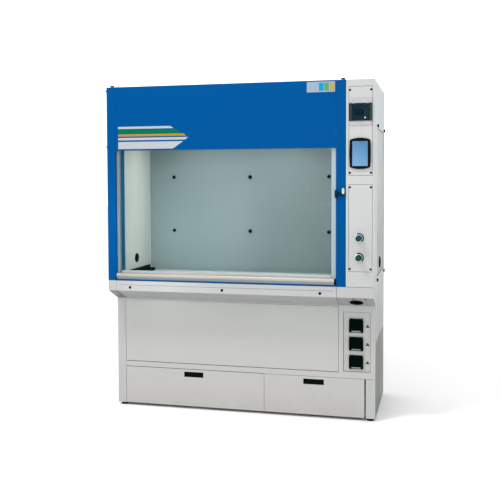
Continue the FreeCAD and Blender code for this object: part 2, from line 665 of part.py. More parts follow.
def fan():
    """Inline exhaust fan below the collar: tube, motor on three struts, impeller."""
    centre = ("duct_x", "duct_y")
    tube = rod("z", centre, "fan_rad", ("fan_low", "duct_low"))
    bore = rod("z", centre, "fan_rad - fan_wall", ("fan_low - 1", "duct_low - 4"))
    mouth = rod("z", centre, "duct_rad - duct_wall", ("duct_low - 5", "duct_low + 1"))
    node("fan_housing", cut(tube, bore, mouth))
    struts = []
    for step in range(3):
        strut = DOC.addObject("Part::Box", "Strut")
        bind(strut, Length="fan_rad - 3.5", Width="6", Height="20")
        turn = FreeCAD.Rotation(FreeCAD.Vector(0, 0, 1), 30 + 120 * step)
        strut.Placement = FreeCAD.Placement(FreeCAD.Vector(), turn)
        place(strut, "duct_x", "duct_y", "strut_z")
        struts.append(strut)
    case = rod("z", centre, "motor_rad", ("motor_low", "motor_high"))
    bearing = rod("z", centre, "shaft_rad + shaft_gap", ("motor_low - 1", "motor_low + 40"))
    node("fan_motor", cut(fuse(case, *struts), bearing))
    hub = fuse(taper("z", centre, ("hub_rad - 14", "hub_rad"), ("hub_low", "hub_step")),
               rod("z", centre, "hub_rad", ("hub_step", "hub_high")),
               rod("z", centre, "shaft_rad", ("hub_high", "motor_low + 30")))
    blades = []
    for step in range(7):
        blade = DOC.addObject("Part::Box", "Blade")
        bind(blade, Length="fan_rad - 41", Width="blade_thick", Height="blade_tall")
        around = 360.0 * step / 7
        turn = FreeCAD.Rotation(FreeCAD.Vector(0, 0, 1), around)
        pitch = FreeCAD.Rotation(FreeCAD.Vector(1, 0, 0), 38)
        blade.Placement = FreeCAD.Placement(FreeCAD.Vector(), turn.multiply(pitch))
        place(blade, "duct_x + blade_root*%.6f" % math.cos(math.radians(around)),
              "duct_y + blade_root*%.6f" % math.sin(math.radians(around)), "blade_z")
        blades.append(blade)
    shroud = rod("z", centre, "fan_rad - 8", ("blade_z + 6", "hub_high - 5"))
    node("fan_impeller", fuse(hub, *[common(blade, shroud) for blade in blades]))


# --------------------------------------------------------------- service column

def column_front():
    plate = block(("column_left", "width"), ("0", "sheet"), ("sill + seam", "height"))
    backing = block(("column_left + 2", "width - 4"), ("sheet", "2*sheet"),
                    ("sill + 40", "height - 20"))
    cutters = []
    for low, high in (("upper_low", "upper_high"), ("lower_low", "lower_high")):
        cutters.append(block(("door_left", "door_right"), ("-1", "sheet"), (low, high)))
        cutters.append(block(("door_left + 16", "door_right - 16"), ("0", "3*sheet"),
                             (low + " + 16", high + " - 16")))
    node("column_front", cut(fuse(plate, backing), *cutters))


def door_plate(low, high):
    return block(("door_left + seam", "door_right - seam"), ("0", "sheet"),
                 (low + " + seam", high + " - seam"))


BREAKER_X = ("breaker_left", "breaker_right")
BREAKER_Z = ("breaker_low", "breaker_high")


def column_doors():
    box_hole = block(BREAKER_X, ("-1", "sheet + 1"), BREAKER_Z)
    node("column_upper_panel", cut(door_plate("upper_low", "upper_high"), box_hole))
    holes = [rod("y", ("valve_x", z), "12", ("-1", "sheet + 1"))
             for z in ("valve_high", "valve_low")]
    node("column_lower_panel", cut(door_plate("lower_low", "lower_high"), *holes))


def panel_screws():
    """Black pan heads: four on each column panel, three on the fascia."""
    spots = [(x, "0", z) for x in ("door_left + 8", "door_right - 10")
             for z in ("upper_high - 23", "upper_low + 18", "lower_high - 19", "lower_low + 18")]
    spots += [(x, "0", "855") for x in ("157", "806", "1458")]
    heads = [fuse(taper("y", (x, z), ("4", "6.2"), (y + " - 3", y + " - 1")),
                  rod("y", (x, z), "6.2", (y + " - 1", y))) for x, y, z in spots]
    node("panel_screws", group(*heads))


def breaker_unit():
    """Flush breaker enclosure with a pale frame and a smoked flap hinged at its top."""
    frame = block(("breaker_left - frame_over", "breaker_right + frame_over"),
                  ("-frame_thick", "0"),
                  ("breaker_low - frame_above", "breaker_high + frame_above"))
    shell = block(BREAKER_X, ("0", "box_deep"), BREAKER_Z)
    window = block(("breaker_left + 2.5", "breaker_right - 2.5"), ("-frame_thick - 1", "1"),
                   ("flap_low + 5", "flap_pivot - 5"))
    inside = block(("breaker_left + sheet", "breaker_right - sheet"), ("0", "box_deep - sheet"),
                   ("breaker_low + sheet", "breaker_high - sheet"))
    node("breaker_box", cut(fuse(frame, shell), window, inside))
    modules = []
    for step in range(6):
        left = "breaker_left + 4.5 + %d*18" % step
        module = block((left, left + " + 17.5"), ("14", "69"),
                       ("module_low", "module_high"))
        lever = block((left + " + 5", left + " + 12.5"), ("4", "14"),
                      ("module_low + 32", "module_low + 44"))
        modules.append(fuse(module, lever))
    node("circuit_breakers", group(*modules))
    flap = rounded(block(("flap_left", "flap_end"), ("-9.5", "-4.5"),
                         ("flap_low", "flap_pivot - 3")), "4", "y")
    barrel = rod("x", ("-7", "flap_pivot"), "2.4", ("flap_left + 3", "flap_end - 3"))
    web = block(("flap_left + 5", "flap_end - 5"), ("-9", "-5"), ("flap_pivot - 7", "flap_pivot"))
    node("breaker_cover", fuse(flap, web, barrel))


def touch_screen():
    """Operator panel: each edge of the bezel bows gently outwards."""
    wide, tall = "screen_wide", "screen_tall"
    left, right = "screen_x - screen_wide/2", "screen_x + screen_wide/2"
    low, high = "screen_z - screen_tall/2", "screen_z + screen_tall/2"
    face = ("-12", "0")
    slab = block((left, right), face, (low, high))
    arcs = []
    for reach, chord, bow in ((wide, tall, "bow_side"), (tall, wide, "bow_end")):
        radius = "(%s*%s/4 + %s*%s)/(2*%s)" % (chord, chord, bow, bow, bow)
        for sign in ("+", "-"):
            shift = "%s (%s/2 - (%s))" % (sign, reach, radius)
            if reach == wide:
                centre = ("screen_x " + shift, "screen_z")
            else:
                centre = ("screen_x", "screen_z " + shift)
            arcs.append(rod("y", centre, radius, face))
    bezel = rounded(common(slab, *arcs), "10", "y")
    pane = (("screen_x - pane_left", "screen_x + pane_right"),
            ("screen_z - pane_below", "screen_z + pane_above"))
    pocket = block(pane[0], ("-13", "-9.5"), pane[1])
    node("screen_bezel", cut(bezel, pocket))
    node("screen_glass", block(pane[0], ("-11.8", "-9.5"), pane[1]))


def service_valves():
    """Two needle valves: chrome collars through the panel, fluted knobs in front."""
    collars = []
    for label, z in (("upper_valve_knob", "valve_high"), ("lower_valve_knob", "valve_low")):
        at = ("valve_x", z)
        collar = fuse(taper("y", at, ("24", "27"), ("-9", "-4")), rod("y", at, "27", ("-4", "0")),
                      rod("y", at, "12", ("0", "34")))
        collars.append(cut(collar, rod("y", at, "5.05", ("-10", "28"))))
        grip = taper("y", at, ("18.5", "20.5"), ("-knob_reach + 3", "-14"))
        nose = taper("y", at, ("15", "18.5"), ("-knob_reach", "-knob_reach + 3"))
        spindle = rod("y", at, "5", ("-15", "26"))
        flutes = []
        for step in range(8):
            angle = math.radians(45 * step + 22.5)
            flutes.append(rod("y", ("valve_x + %.6f" % (23.4 * math.cos(angle)),
                                    "%s + %.6f" % (z, 23.4 * math.sin(angle))), "5",
                              ("-knob_reach - 1", "-19")))
        node(label, cut(fuse(grip, nose, spindle), *flutes))
    node("valve_collars", group(*collars))


def grommets():
    """Rubber edging of the side port and slope port, and the plug in the left wall."""
    at = ("port_y", "port_z")
    side = cut(fuse(rod("x", at, "port_rad", ("width - sheet", "width")),
                    rod("x", at, "port_rad - port_rim", ("width - 2*sheet - 4", "width - sheet"))),
               rod("x", at, "port_bore", ("width - 10*sheet", "width + 2")))
    here = ("slope_port_x", SLOPE_PORT_AT)
    sloped = cut(fuse(across_slope(*here, "slope_port_rad", "4", "0"),
                      across_slope(*here, "slope_port_rad - port_rim", "0", "8")),
                 across_slope(*here, "slope_port_bore", "8", "12"))
    plug_at = ("plug_y", "plug_z")
    plug = fuse(rod("x", plug_at, "plug_rad", ("chamber_left", "chamber_left + 5")),
                rod("x", plug_at, "plug_rad - port_rim", ("chamber_left - 8", "chamber_left")),
                rod("x", plug_at, "7", ("chamber_left + 5", "chamber_left + 8")))
    node("port_grommets", group(side, sloped, plug))


# ------------------------------------------------------------------- build all

for build in (side_panels, access_cover, side_fixings, fascias, rear_panel, base_sides, base_face,
              sockets, base_frame, levelling_feet, drawers, worktop, cup_sink, chamber_walls,
              baffle, ceiling, front_frame, sash_tracks, sash, sash_drive, sash_stop, top_deck,
              fan, column_front, column_doors, panel_screws, breaker_unit, touch_screen,
              service_valves, grommets):
    build()
DOC.recompute()

for thing in DOC.Objects:
    if "Invalid" in thing.State or "Error" in thing.State:
        raise RuntimeError("%s (%s) did not build: %s" % (thing.Name, thing.Label, thing.State))
for thing in NODES:
    if thing.Shape.isNull() or not thing.Shape.isValid() or not thing.Shape.Solids:
        raise RuntimeError("%s has no valid solid" % thing.Label)

os.makedirs("parts", exist_ok=True)
for thing in NODES:
    thing.Shape.exportStep("parts/%s.step" % thing.Label)
    print("%-22s %2d solids %10.0f mm3" % (thing.Label, len(thing.Shape.Solids), thing.Shape.Volume))
print(len(NODES), "nodes")
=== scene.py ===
import json
import math

import bmesh
import bpy
from mathutils import Matrix, Vector

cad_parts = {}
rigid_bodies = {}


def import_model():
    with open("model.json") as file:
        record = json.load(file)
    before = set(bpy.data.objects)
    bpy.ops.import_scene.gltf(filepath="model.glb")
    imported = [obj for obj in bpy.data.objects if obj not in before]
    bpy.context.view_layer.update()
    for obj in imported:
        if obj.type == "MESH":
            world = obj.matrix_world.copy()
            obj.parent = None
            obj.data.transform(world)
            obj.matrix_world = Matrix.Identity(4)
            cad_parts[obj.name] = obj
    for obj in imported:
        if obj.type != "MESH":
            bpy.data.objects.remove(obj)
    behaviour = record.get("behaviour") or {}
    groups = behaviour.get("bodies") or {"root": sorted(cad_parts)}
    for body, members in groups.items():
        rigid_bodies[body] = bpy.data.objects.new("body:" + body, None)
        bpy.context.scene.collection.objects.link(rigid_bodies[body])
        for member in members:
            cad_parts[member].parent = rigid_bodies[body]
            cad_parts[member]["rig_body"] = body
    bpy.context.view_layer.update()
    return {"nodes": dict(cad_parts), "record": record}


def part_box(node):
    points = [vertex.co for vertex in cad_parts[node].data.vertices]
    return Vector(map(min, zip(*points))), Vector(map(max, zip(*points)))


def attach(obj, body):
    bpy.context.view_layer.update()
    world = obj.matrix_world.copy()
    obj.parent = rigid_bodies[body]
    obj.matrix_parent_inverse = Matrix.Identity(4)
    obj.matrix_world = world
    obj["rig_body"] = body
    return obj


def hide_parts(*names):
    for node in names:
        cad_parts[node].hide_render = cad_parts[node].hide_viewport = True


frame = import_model()

# Metres, in the CAD frame: +Z up, the hood's front faces -Y, the column is at +X.

MM = 0.001
FRONTWARD = (0, -1, 0)
BLACK = (0.0, 0.0, 0.0)
SLOT_OF = {part["node"]: part["material_slot"] for part in frame["record"]["subparts"]}


# ---- materials

class Graph:
    """A node tree, with the few kinds of node that this scene needs."""

    def __init__(self, tree, coords):
        self.nodes = tree.nodes
        self.links = tree.links
        self.coords = self.nodes.new("ShaderNodeTexCoord").outputs[coords]

    def stretched(self, scale):
        mapping = self.nodes.new("ShaderNodeMapping")
        mapping.inputs["Scale"].default_value = scale
        self.links.new(self.coords, mapping.inputs["Vector"])
        return mapping.outputs["Vector"]

    def noise(self, scale, detail=3.0, stretch=None):
        texture = self.nodes.new("ShaderNodeTexNoise")
        texture.inputs["Scale"].default_value = scale
        texture.inputs["Detail"].default_value = detail
        source = self.stretched(stretch) if stretch else self.coords
        self.links.new(source, texture.inputs["Vector"])
        return texture.outputs["Fac"]

    def speckle(self, scale):
        texture = self.nodes.new("ShaderNodeTexVoronoi")
        texture.inputs["Scale"].default_value = scale
        self.links.new(self.coords, texture.inputs["Vector"])
        return texture.outputs["Distance"]

    def along(self, axis, low, high, at_low=0.0, at_high=1.0):
        """A value that runs from 'at_low' to 'at_high' between two places on an axis."""
        parts = self.nodes.new("ShaderNodeSeparateXYZ")
        self.links.new(self.coords, parts.inputs["Vector"])
        return self.remap(parts.outputs["XYZ".index(axis)], low, high, at_low, at_high)

    def remap(self, source, low, high, new_low, new_high):
        node = self.nodes.new("ShaderNodeMapRange")
        for socket, value in (("From Min", low), ("From Max", high),
                              ("To Min", new_low), ("To Max", new_high)):
            node.inputs[socket].default_value = value
        self.links.new(source, node.inputs["Value"])
        return node.outputs["Result"]

    def maths(self, operation, first, second):
        node = self.nodes.new("ShaderNodeMath")
        node.operation = operation
        for socket, value in zip(node.inputs, (first, second)):
            if isinstance(value, (int, float)):
                socket.default_value = value
            else:
                self.links.new(value, socket)
        return node.outputs["Value"]

    def mix(self, factor, first, second):
        node = self.nodes.new("ShaderNodeMix")
        node.data_type = "RGBA"
        if isinstance(factor, (int, float)):
            node.inputs["Factor"].default_value = factor
        else:
            self.links.new(factor, node.inputs["Factor"])
        for socket, value in ((node.inputs[6], first), (node.inputs[7], second)):
            if isinstance(value, tuple):
                socket.default_value = (*value, 1.0)
            else:
                self.links.new(value, socket)
        return node.outputs[2]


class Look(Graph):
    """One node material, built up from object-space noise."""

    def __init__(self, name, rough, metal=0.0, specular=0.5):
        self.material = bpy.data.materials.new(name)
        self.material.use_nodes = True
        super().__init__(self.material.node_tree, "Object")
        self.shader = self.nodes["Principled BSDF"]
        self.set("Roughness", rough)
        self.set("Metallic", metal)
        self.set("Specular IOR Level", specular)

    def set(self, socket, value):
        self.shader.inputs[socket].default_value = value

    def join(self, output, socket):
        self.links.new(output, self.shader.inputs[socket])

    def paint(self, colour):
        self.join(colour, "Base Color")

    def gloss(self, source, low, high):
        """Roughness between 'low' and 'high', following a noise."""
        self.join(self.remap(source, 0.3, 0.7, low, high), "Roughness")

    def bump(self, height, strength, distance):
        node = self.nodes.new("ShaderNodeBump")
        node.inputs["Strength"].default_value = strength
        node.inputs["Distance"].default_value = distance
        self.links.new(height, node.inputs["Height"])
        self.join(node.outputs["Normal"], "Normal")

    def scuffs(self, base, tone, scale, stretch, share=0.3):
        """Short rubbed marks, gathered in a few patches."""
        patch = self.remap(self.noise(2.3, 2.0), 0.50, 0.68, 0.0, 1.0)
        mark = self.remap(self.noise(scale, 5.0, stretch), 0.56, 0.66, 0.0, share)
        return self.mix(self.maths("MULTIPLY", patch, mark), base, tone)

    def darkened(self, base, axis, low, high, share):
        """Darken by up to 'share' along an axis."""
        return self.mix(self.maths("MULTIPLY", self.along(axis, low, high), share), base, BLACK)

    def sprayed(self, base, tone, rough, peel=0.10):
        """The last coat of a painted sheet: scuffs, gloss and orange peel."""
        self.paint(self.scuffs(base, tone, 42.0, (1.0, 1.0, 0.35)))
        self.gloss(self.noise(5.0, 4.0), rough - 0.05, rough + 0.08)
        self.bump(self.noise(620.0, 2.0), peel, 0.0004)
        return self.material


def shade(colour, factor):
    return tuple(min(1.0, channel * factor) for channel in colour)


TINTED_BELOW, DUSTY_BELOW = 0.75, 0.16


def powder_coat(name, colour, rough, low_tint=None, peel=0.10, specular=0.4, drift=None):
    """Sprayed powder coat: orange-peel bump, faint tonal drift, scuffs and dust."""
    look = Look(name, rough, specular=specular)
    base = look.mix(look.noise(1.6, 2.0), shade(colour, 0.955), shade(colour, 1.035))
    if low_tint:
        base = look.mix(look.along("Z", TINTED_BELOW, 0.0), base, low_tint)
        dusty = look.maths("MULTIPLY", look.along("Z", DUSTY_BELOW, 0.0),
                           look.remap(look.noise(9.0, 4.0), 0.35, 0.7, 0.05, 0.35))
        base = look.mix(dusty, base, shade(low_tint, 0.72))
    # 'drift' blends towards a second colour along an axis; on the tracks, side panels, side cover
    # and base sides that blend is painted shade.
    if drift:
        tone, axis, start, end = drift
        base = look.mix(look.along(axis, start, end), base, tone)
    return look.sprayed(base, shade(colour, 0.80), rough, peel)


def chamber_coat(name, dark, light, wiped, wipe=0.30, stretch=(3.2, 3.2, 0.35), painted_top_shade=0.0):
    """Resin-coated liner: broad wipe marks, a soft sheen and painted shade that darkens it
    towards the top.
    """
    look = Look(name, 0.34, specular=0.3)
    streak = look.noise(1.0, 4.0, stretch)
    base = look.mix(look.remap(streak, 0.32, 0.68, 0.0, 1.0), dark, light)
    fine = look.remap(look.noise(14.0, 5.0, (5.0, 5.0, 0.22)), 0.42, 0.62, 0.0, wipe)
    base = look.mix(fine, base, shade(dark, wiped))
    # Painted shade: the liner darkens towards the top of the wall.
    if painted_top_shade:
        base = look.darkened(base, "Z", 0.95, 1.60, painted_top_shade)
    look.paint(look.scuffs(base, shade(light, 1.15), 30.0, (1.0, 1.0, 0.2), 0.22))
    look.gloss(streak, 0.30, 0.46)
    look.bump(look.noise(26.0, 2.0, (1.0, 1.0, 0.3)), 0.05, 0.0006)
    return look.material


def brushed(name, colour, rough, grain=(1.0, 60.0, 60.0), metal=1.0):
    """Drawn or rolled metal with fine parallel scratches."""
    look = Look(name, rough, metal=metal)
    scratch = look.noise(40.0, 6.0, grain)
    base = look.mix(look.remap(scratch, 0.3, 0.7, 0.0, 1.0), shade(colour, 0.88),
                    shade(colour, 1.08))
    look.paint(look.mix(look.remap(look.noise(6.0, 4.0), 0.45, 0.75, 0.0, 0.25), base,
                        shade(colour, 0.75)))
    look.gloss(scratch, rough - 0.08, rough + 0.1)
    look.bump(scratch, 0.10, 0.0002)
    return look.material


def handle_alloy(name):
    """Anodised sash rail, with painted light and shade: cream above where lit, greyer below in
    shade, a painted shadow line under the pale glazing channel; dark at left.
    """
    look = Look(name, 0.45, metal=0.35, specular=0.3)
    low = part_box("sash_handle")[0].z
    scratch = look.noise(40.0, 6.0, (1.0, 60.0, 60.0))
    # Painted light and shade: cream on the lit upper grip, grey on the shaded lower part.
    base = look.mix(look.along("Z", low + 0.018, low + 0.022), (0.205, 0.240, 0.252),
                    (0.342, 0.326, 0.292))
    base = look.mix(look.along("Z", low + 0.0405, low + 0.0420), base, (0.320, 0.345, 0.340))
    # Painted shadow: a dark line between the handle's top and the glazing channel.
    line = look.maths("MULTIPLY", look.along("Z", low + 0.0385, low + 0.0400),
                      look.along("Z", low + 0.0440, low + 0.0425))
    base = look.mix(look.maths("MULTIPLY", line, 0.55), base, (0.10, 0.10, 0.10))
    base = look.mix(look.remap(scratch, 0.35, 0.7, 0.0, 0.22), base, (0.16, 0.16, 0.16))
    look.paint(look.darkened(base, "X", 0.30, -0.55, 0.19))
    look.gloss(scratch, 0.36, 0.55)
    look.bump(scratch, 0.08, 0.0002)
    return look.material


def galvanised(name):
    """Hot-dip zinc: cells of differing tone."""
    look = Look(name, 0.42, metal=0.85)
    cells = look.speckle(55.0)
    base = look.mix(cells, (0.26, 0.27, 0.28), (0.46, 0.47, 0.48))
    look.paint(look.mix(look.noise(9.0), base, (0.34, 0.35, 0.36)))
    look.join(look.remap(cells, 0.0, 0.8, 0.33, 0.55), "Roughness")
    look.bump(cells, 0.06, 0.0003)
    return look.material


def shaded_fascia_coat(name):
    """Casing paint on the fascia, with painted shade: darker under the fold and darkest at the
    far left end.
    """
    look = Look(name, 0.42, specular=0.4)
    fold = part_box("front_fascia")[1].z - FASCIA_UPRIGHT
    base = look.mix(look.noise(1.6, 2.0), shade(WHITE, 0.79), shade(WHITE, 0.85))
    # Painted shade on the slope under the fold: darkest at the far left end and darker under the
    # column.
    under = look.mix(look.along("X", -0.60, 0.10), shade(WHITE, 0.71), shade(WHITE, 0.77))
    under = look.mix(look.along("X", -0.820, -0.835), under, shade(WHITE, 0.33))
    under = look.mix(look.along("X", 0.64, 0.68), under, shade(WHITE, 0.66))
    base = look.mix(look.along("Z", fold + 0.001, fold - 0.002), base, under)
    return look.sprayed(base, shade(WHITE, 0.66), 0.42)


def moulded(name, colour, rough, grain=900.0, specular=0.3):
    """Injection-moulded plastic with a fine spark-eroded grain and rubbed patches."""
    look = Look(name, rough, specular=specular)
    base = look.mix(look.noise(22.0, 3.0), shade(colour, 0.80), shade(colour, 1.20))
    look.paint(look.mix(look.remap(look.noise(70.0, 5.0), 0.60, 0.70, 0.0, 0.35), base,
                        shade(colour, 1.9)))
    look.gloss(look.noise(30.0, 4.0), rough - 0.06, rough + 0.10)
    look.bump(look.noise(grain, 2.0), 0.15, 0.0002)
    return look.material


def glazed_stone(name):
    """Technical stoneware worktop: grey glaze with dense fine specks."""
    look = Look(name, 0.35, specular=0.25)
    speck = look.remap(look.speckle(900.0), 0.1, 0.35, 1.0, 0.0)
    base = look.mix(look.noise(4.0, 3.0), (0.55, 0.595, 0.585), (0.605, 0.65, 0.64))
    look.paint(look.mix(look.maths("MULTIPLY", speck, 0.25), base, (0.30, 0.345, 0.345)))
    look.gloss(look.noise(9.0), 0.30, 0.34)
    look.bump(look.noise(160.0), 0.006, 0.0003)
    return look.material


def pane(name, colour, alpha, rough, specular):
    """Clear or smoked sheet: mostly see-through, with faint wipe marks in its gloss."""
    look = Look(name, rough, specular=specular)
    look.paint(look.mix(look.noise(2.5), shade(colour, 0.94), colour))
    look.join(look.remap(look.noise(4.0, 4.0, (1.0, 1.0, 0.4)), 0.35, 0.70,
                         alpha * 0.97, alpha * 1.03), "Alpha")
    look.gloss(look.noise(7.0, 4.0, (1.0, 1.0, 3.0)), rough, rough + 0.05)
    return look.material


def display(name):
    """Lit operator screen: a plain blue gradient, brighter towards the lower left."""
    look = Look(name, 0.12)
    low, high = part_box("screen_glass")
    rise = look.along("Z", high.z, low.z)
    across = look.along("X", high.x, low.x)
    blend = look.maths("ADD", look.maths("MULTIPLY", rise, 0.65),
                       look.maths("MULTIPLY", across, 0.25))
    drift = look.maths("ADD", blend, look.remap(look.noise(26.0), 0.0, 1.0, -0.1, 0.1))
    colour = look.mix(drift, (0.066, 0.222, 0.47), (0.215, 0.460, 0.74))
    look.paint(look.mix(0.92, colour, BLACK))
    look.join(colour, "Emission Color")
    look.set("Emission Strength", 0.86)
    look.set("Specular IOR Level", 0.06)
    return look.material


def diffuser(name):
    """Opal lamp panel, softly lit."""
    look = Look(name, 0.5)
    glow = look.mix(look.noise(3.0), (0.9, 0.95, 1.0), (1.0, 1.0, 1.0))
    look.paint(glow)
    look.join(glow, "Emission Color")
    look.set("Emission Strength", 1.2)
    look.bump(look.noise(260.0), 0.1, 0.0003)
    return look.material


def rubber(name, colour):
    """Dull black or grey rubber, a little mottled."""
    look = Look(name, 0.7, specular=0.03)
    look.paint(look.mix(look.noise(35.0, 4.0), shade(colour, 0.8), shade(colour, 1.5)))
    look.gloss(look.noise(60.0), 0.6, 0.85)
    look.bump(look.noise(500.0), 0.2, 0.0003)
    return look.material


def printed(name, colour, rough=0.4):
    """Printed vinyl film, such as a stripe or plate colour."""
    look = Look(name, rough, specular=0.03)
    look.paint(look.mix(look.noise(30.0), shade(colour, 0.95), shade(colour, 1.04)))
    look.bump(look.noise(300.0, 2.0), 0.05, 0.0002)
    return look.material


FASCIA_UPRIGHT = 0.068
WHITE = (0.372, 0.379, 0.374)
BASE_WHITE = (0.324, 0.334, 0.324)
BLUE = (0.0, 0.051, 0.178)

FINISH = {
    "casing_white": powder_coat("casing_powder", shade(WHITE, 0.89), 0.42),
    "base_white": powder_coat("base_powder", BASE_WHITE, 0.44, low_tint=(0.331, 0.322, 0.306)),
    "frame_blue": powder_coat("blue_powder", BLUE, 0.5, specular=0.012),
    "liner_grey": chamber_coat("liner_resin", (0.435, 0.480, 0.442), (0.53, 0.58, 0.538), 0.95),
    "worktop_stone": glazed_stone("worktop_glaze"),
    "sash_pane": pane("sash_glass_clear", (0.012, 0.018, 0.019), 0.03, 0.02, 0.2),
    "sash_alloy": handle_alloy("sash_anodised_painted_light"),
    # Painted shade: the left track is darker than the right.
    "track_alloy": powder_coat("track_grey_painted_shade", (0.106, 0.148, 0.172), 0.42,
                               drift=((0.226, 0.288, 0.318), "X", -0.5, 0.5)),
    "galvanised": galvanised("zinc_spangle"),
    "weight_iron": powder_coat("weight_paint", (0.03, 0.033, 0.036), 0.5, peel=0.4),
    "pulley_alloy": brushed("pulley_turned", (0.40, 0.41, 0.42), 0.35, (60.0, 1.0, 1.0)),
    "belt_rubber": rubber("belt_black", (0.012, 0.012, 0.012)),
    "black_plastic": moulded("black_moulding", (0.0008, 0.0040, 0.0052), 0.5, specular=0.02),
    "black_screw": moulded("black_oxide", (0.0010, 0.0018, 0.0022), 0.45, 400.0, specular=0.02),
    "black_rubber": rubber("grommet_black", (0.002, 0.004, 0.004)),
    "sink_black": moulded("sink_polypropylene", (0.0, 0.013, 0.012), 0.5, 500.0, specular=0.012),
    "chrome_trim": brushed("collar_chrome", (0.44, 0.47, 0.475), 0.40, metal=0.2),
    "knob_green": moulded("knob_green_moulding", (0.0, 0.016, 0.016), 0.3, specular=0.06),
    "smoked_flap": pane("smoked_polycarbonate", (0.0016, 0.0140, 0.0205), 0.45, 0.22, 0.015),
    "bezel_black": moulded("bezel_moulding", (0.0012, 0.0016, 0.002), 0.32, specular=0.025),
    "screen_face": display("screen_display"),
    "lid_black": moulded("lid_moulding", (0.0002, 0.0024, 0.0026), 0.42, specular=0.012),
    "pale_plastic": moulded("pale_moulding", (0.288, 0.293, 0.296), 0.45),
    "white_plastic": moulded("white_moulding", (0.355, 0.400, 0.375), 0.3, specular=0.15),
    "lamp_diffuser": diffuser("lamp_opal"),
    "motor_paint": powder_coat("motor_enamel", (0.06, 0.07, 0.08), 0.4, peel=0.5),
    "fan_plastic": moulded("fan_nylon", (0.03, 0.032, 0.034), 0.5),
}
BASE_FACE_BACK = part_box("base_face_frame")[1].y
# Painted shade: the side panels and the side access cover darken towards the bottom.
SIDE_WHITE_SHADED = powder_coat("side_powder", (0.395, 0.446, 0.442), 0.42,
                         drift=((0.245, 0.258, 0.250), "Z", 1.05, 0.60))
COVER_WHITE_SHADED = powder_coat("cover_painted_shade", (0.312, 0.345, 0.343), 0.42,
                          drift=((0.232, 0.243, 0.234), "Z", 1.75, 0.95))
# Painted shade: the base sides are much darker behind the face frame.
BASE_SIDE_SHADED = powder_coat("base_side_painted_shade", BASE_WHITE, 0.44, specular=0.15,
                        drift=((0.140, 0.147, 0.139), "Y", BASE_FACE_BACK,
                               BASE_FACE_BACK + 0.002))
SHADED_FASCIA = shaded_fascia_coat("fascia_painted_shade")
OWN_FINISH = {"fascia_left_end": SHADED_FASCIA, "front_fascia": SHADED_FASCIA, "column_fascia": SHADED_FASCIA,
              "left_side_panel": SIDE_WHITE_SHADED, "right_side_panel": SIDE_WHITE_SHADED,
              "right_access_cover": COVER_WHITE_SHADED, "left_base_side": BASE_SIDE_SHADED,
              "right_base_side": BASE_SIDE_SHADED,
              "sash_stop": moulded("stop_moulding", (0.0, 0.0165, 0.029), 0.5, specular=0.02)}
# Painted shade: the rear wall's liner is a far darker copy of the side walls' liner, standing in
# for the shade on it; the worktop upstand uses it too.
SHADED_REAR_LINER = chamber_coat("rear_liner_painted_shade", (0.156, 0.220, 0.225), (0.175, 0.243, 0.247),
                          0.92, wipe=0.06, stretch=(1.6, 1.6, 0.8), painted_top_shade=0.14)
BREAKER_CASE = moulded("breaker_case", (0.010, 0.014, 0.016), 0.4)
LINING_BLUE = printed("lining_blue", (0.003, 0.090, 0.185), 0.6)
# Painted shade: dark grey for strips laid in gaps where there is only shadow.
GAP_SHADE = rubber("gap_shade_grey", (0.028, 0.032, 0.033))


# ---- mesh helpers

def body_of(node):
    return frame["nodes"][node]["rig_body"]


SHARP_FROM = math.radians(35)
ROUND_FROM = math.radians(30)


def piece(name, bm, slot, body="cabinet", material=None, bevel=0.0, segments=2):
    """Put a built mesh in the scene as a named piece that rides on a CAD body."""
    thing, mesh = stand(name, bm, material or FINISH[slot])
    mesh.polygons.foreach_set("use_smooth", [True] * len(mesh.polygons))
    mesh.set_sharp_from_angle(angle=SHARP_FROM)
    if bevel:
        rounding = thing.modifiers.new("edge_rounding", "BEVEL")
        rounding.width = bevel
        rounding.segments = segments
        rounding.limit_method = "ANGLE"
        rounding.angle_limit = ROUND_FROM
        evened = thing.modifiers.new("even_normals", "WEIGHTED_NORMAL")
        evened.keep_sharp = True
    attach(thing, body)
    return thing


def stand(name, bm, material):
    """A new object from a built mesh, with its faces turned outwards."""
    bmesh.ops.recalc_face_normals(bm, faces=bm.faces)
    mesh = bpy.data.meshes.new(name)
    bm.to_mesh(mesh)
    bm.free()
    mesh.materials.append(material)
    thing = bpy.data.objects.new(name, mesh)
    bpy.context.scene.collection.objects.link(thing)
    return thing, mesh


def cad_bmesh(node):
    """The CAD node's mesh with its seams welded and its flat faces whole."""
    bm = bmesh.new()
    bm.from_mesh(frame["nodes"][node].data)
    bmesh.ops.remove_doubles(bm, verts=bm.verts, dist=1e-6)
    bmesh.ops.dissolve_limit(bm, angle_limit=math.radians(0.5), verts=bm.verts, edges=bm.edges)
    return bm


def soften(node, width, segments=2, material=None):
    """Stand a copy with rounded edges in for a sheet-metal or moulded CAD node."""
    slot = SLOT_OF[node]
    thing = piece(node + "_finished", cad_bmesh(node), slot, body_of(node),
                  material=material or OWN_FINISH.get(node, FINISH[slot]), bevel=width,
                  segments=segments)
    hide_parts(node)


def islands(node):
    """(lowest, highest) corners of each separate solid in a CAD node, in a fixed order."""
    bm = cad_bmesh(node)
    left = set(bm.verts)
    boxes = []
    while left:
        start = left.pop()
        found = [start]
        stack = [start]
        while stack:
            for edge in stack.pop().link_edges:
                for vert in edge.verts:
                    if vert in left:
                        left.discard(vert)
                        found.append(vert)
                        stack.append(vert)
        low = Vector([min(v.co[i] for v in found) for i in range(3)])
        high = Vector([max(v.co[i] for v in found) for i in range(3)])
        boxes.append((low, high))
    bm.free()
    return sorted(boxes, key=lambda box: tuple(round(c, 4) for c in box[0]))


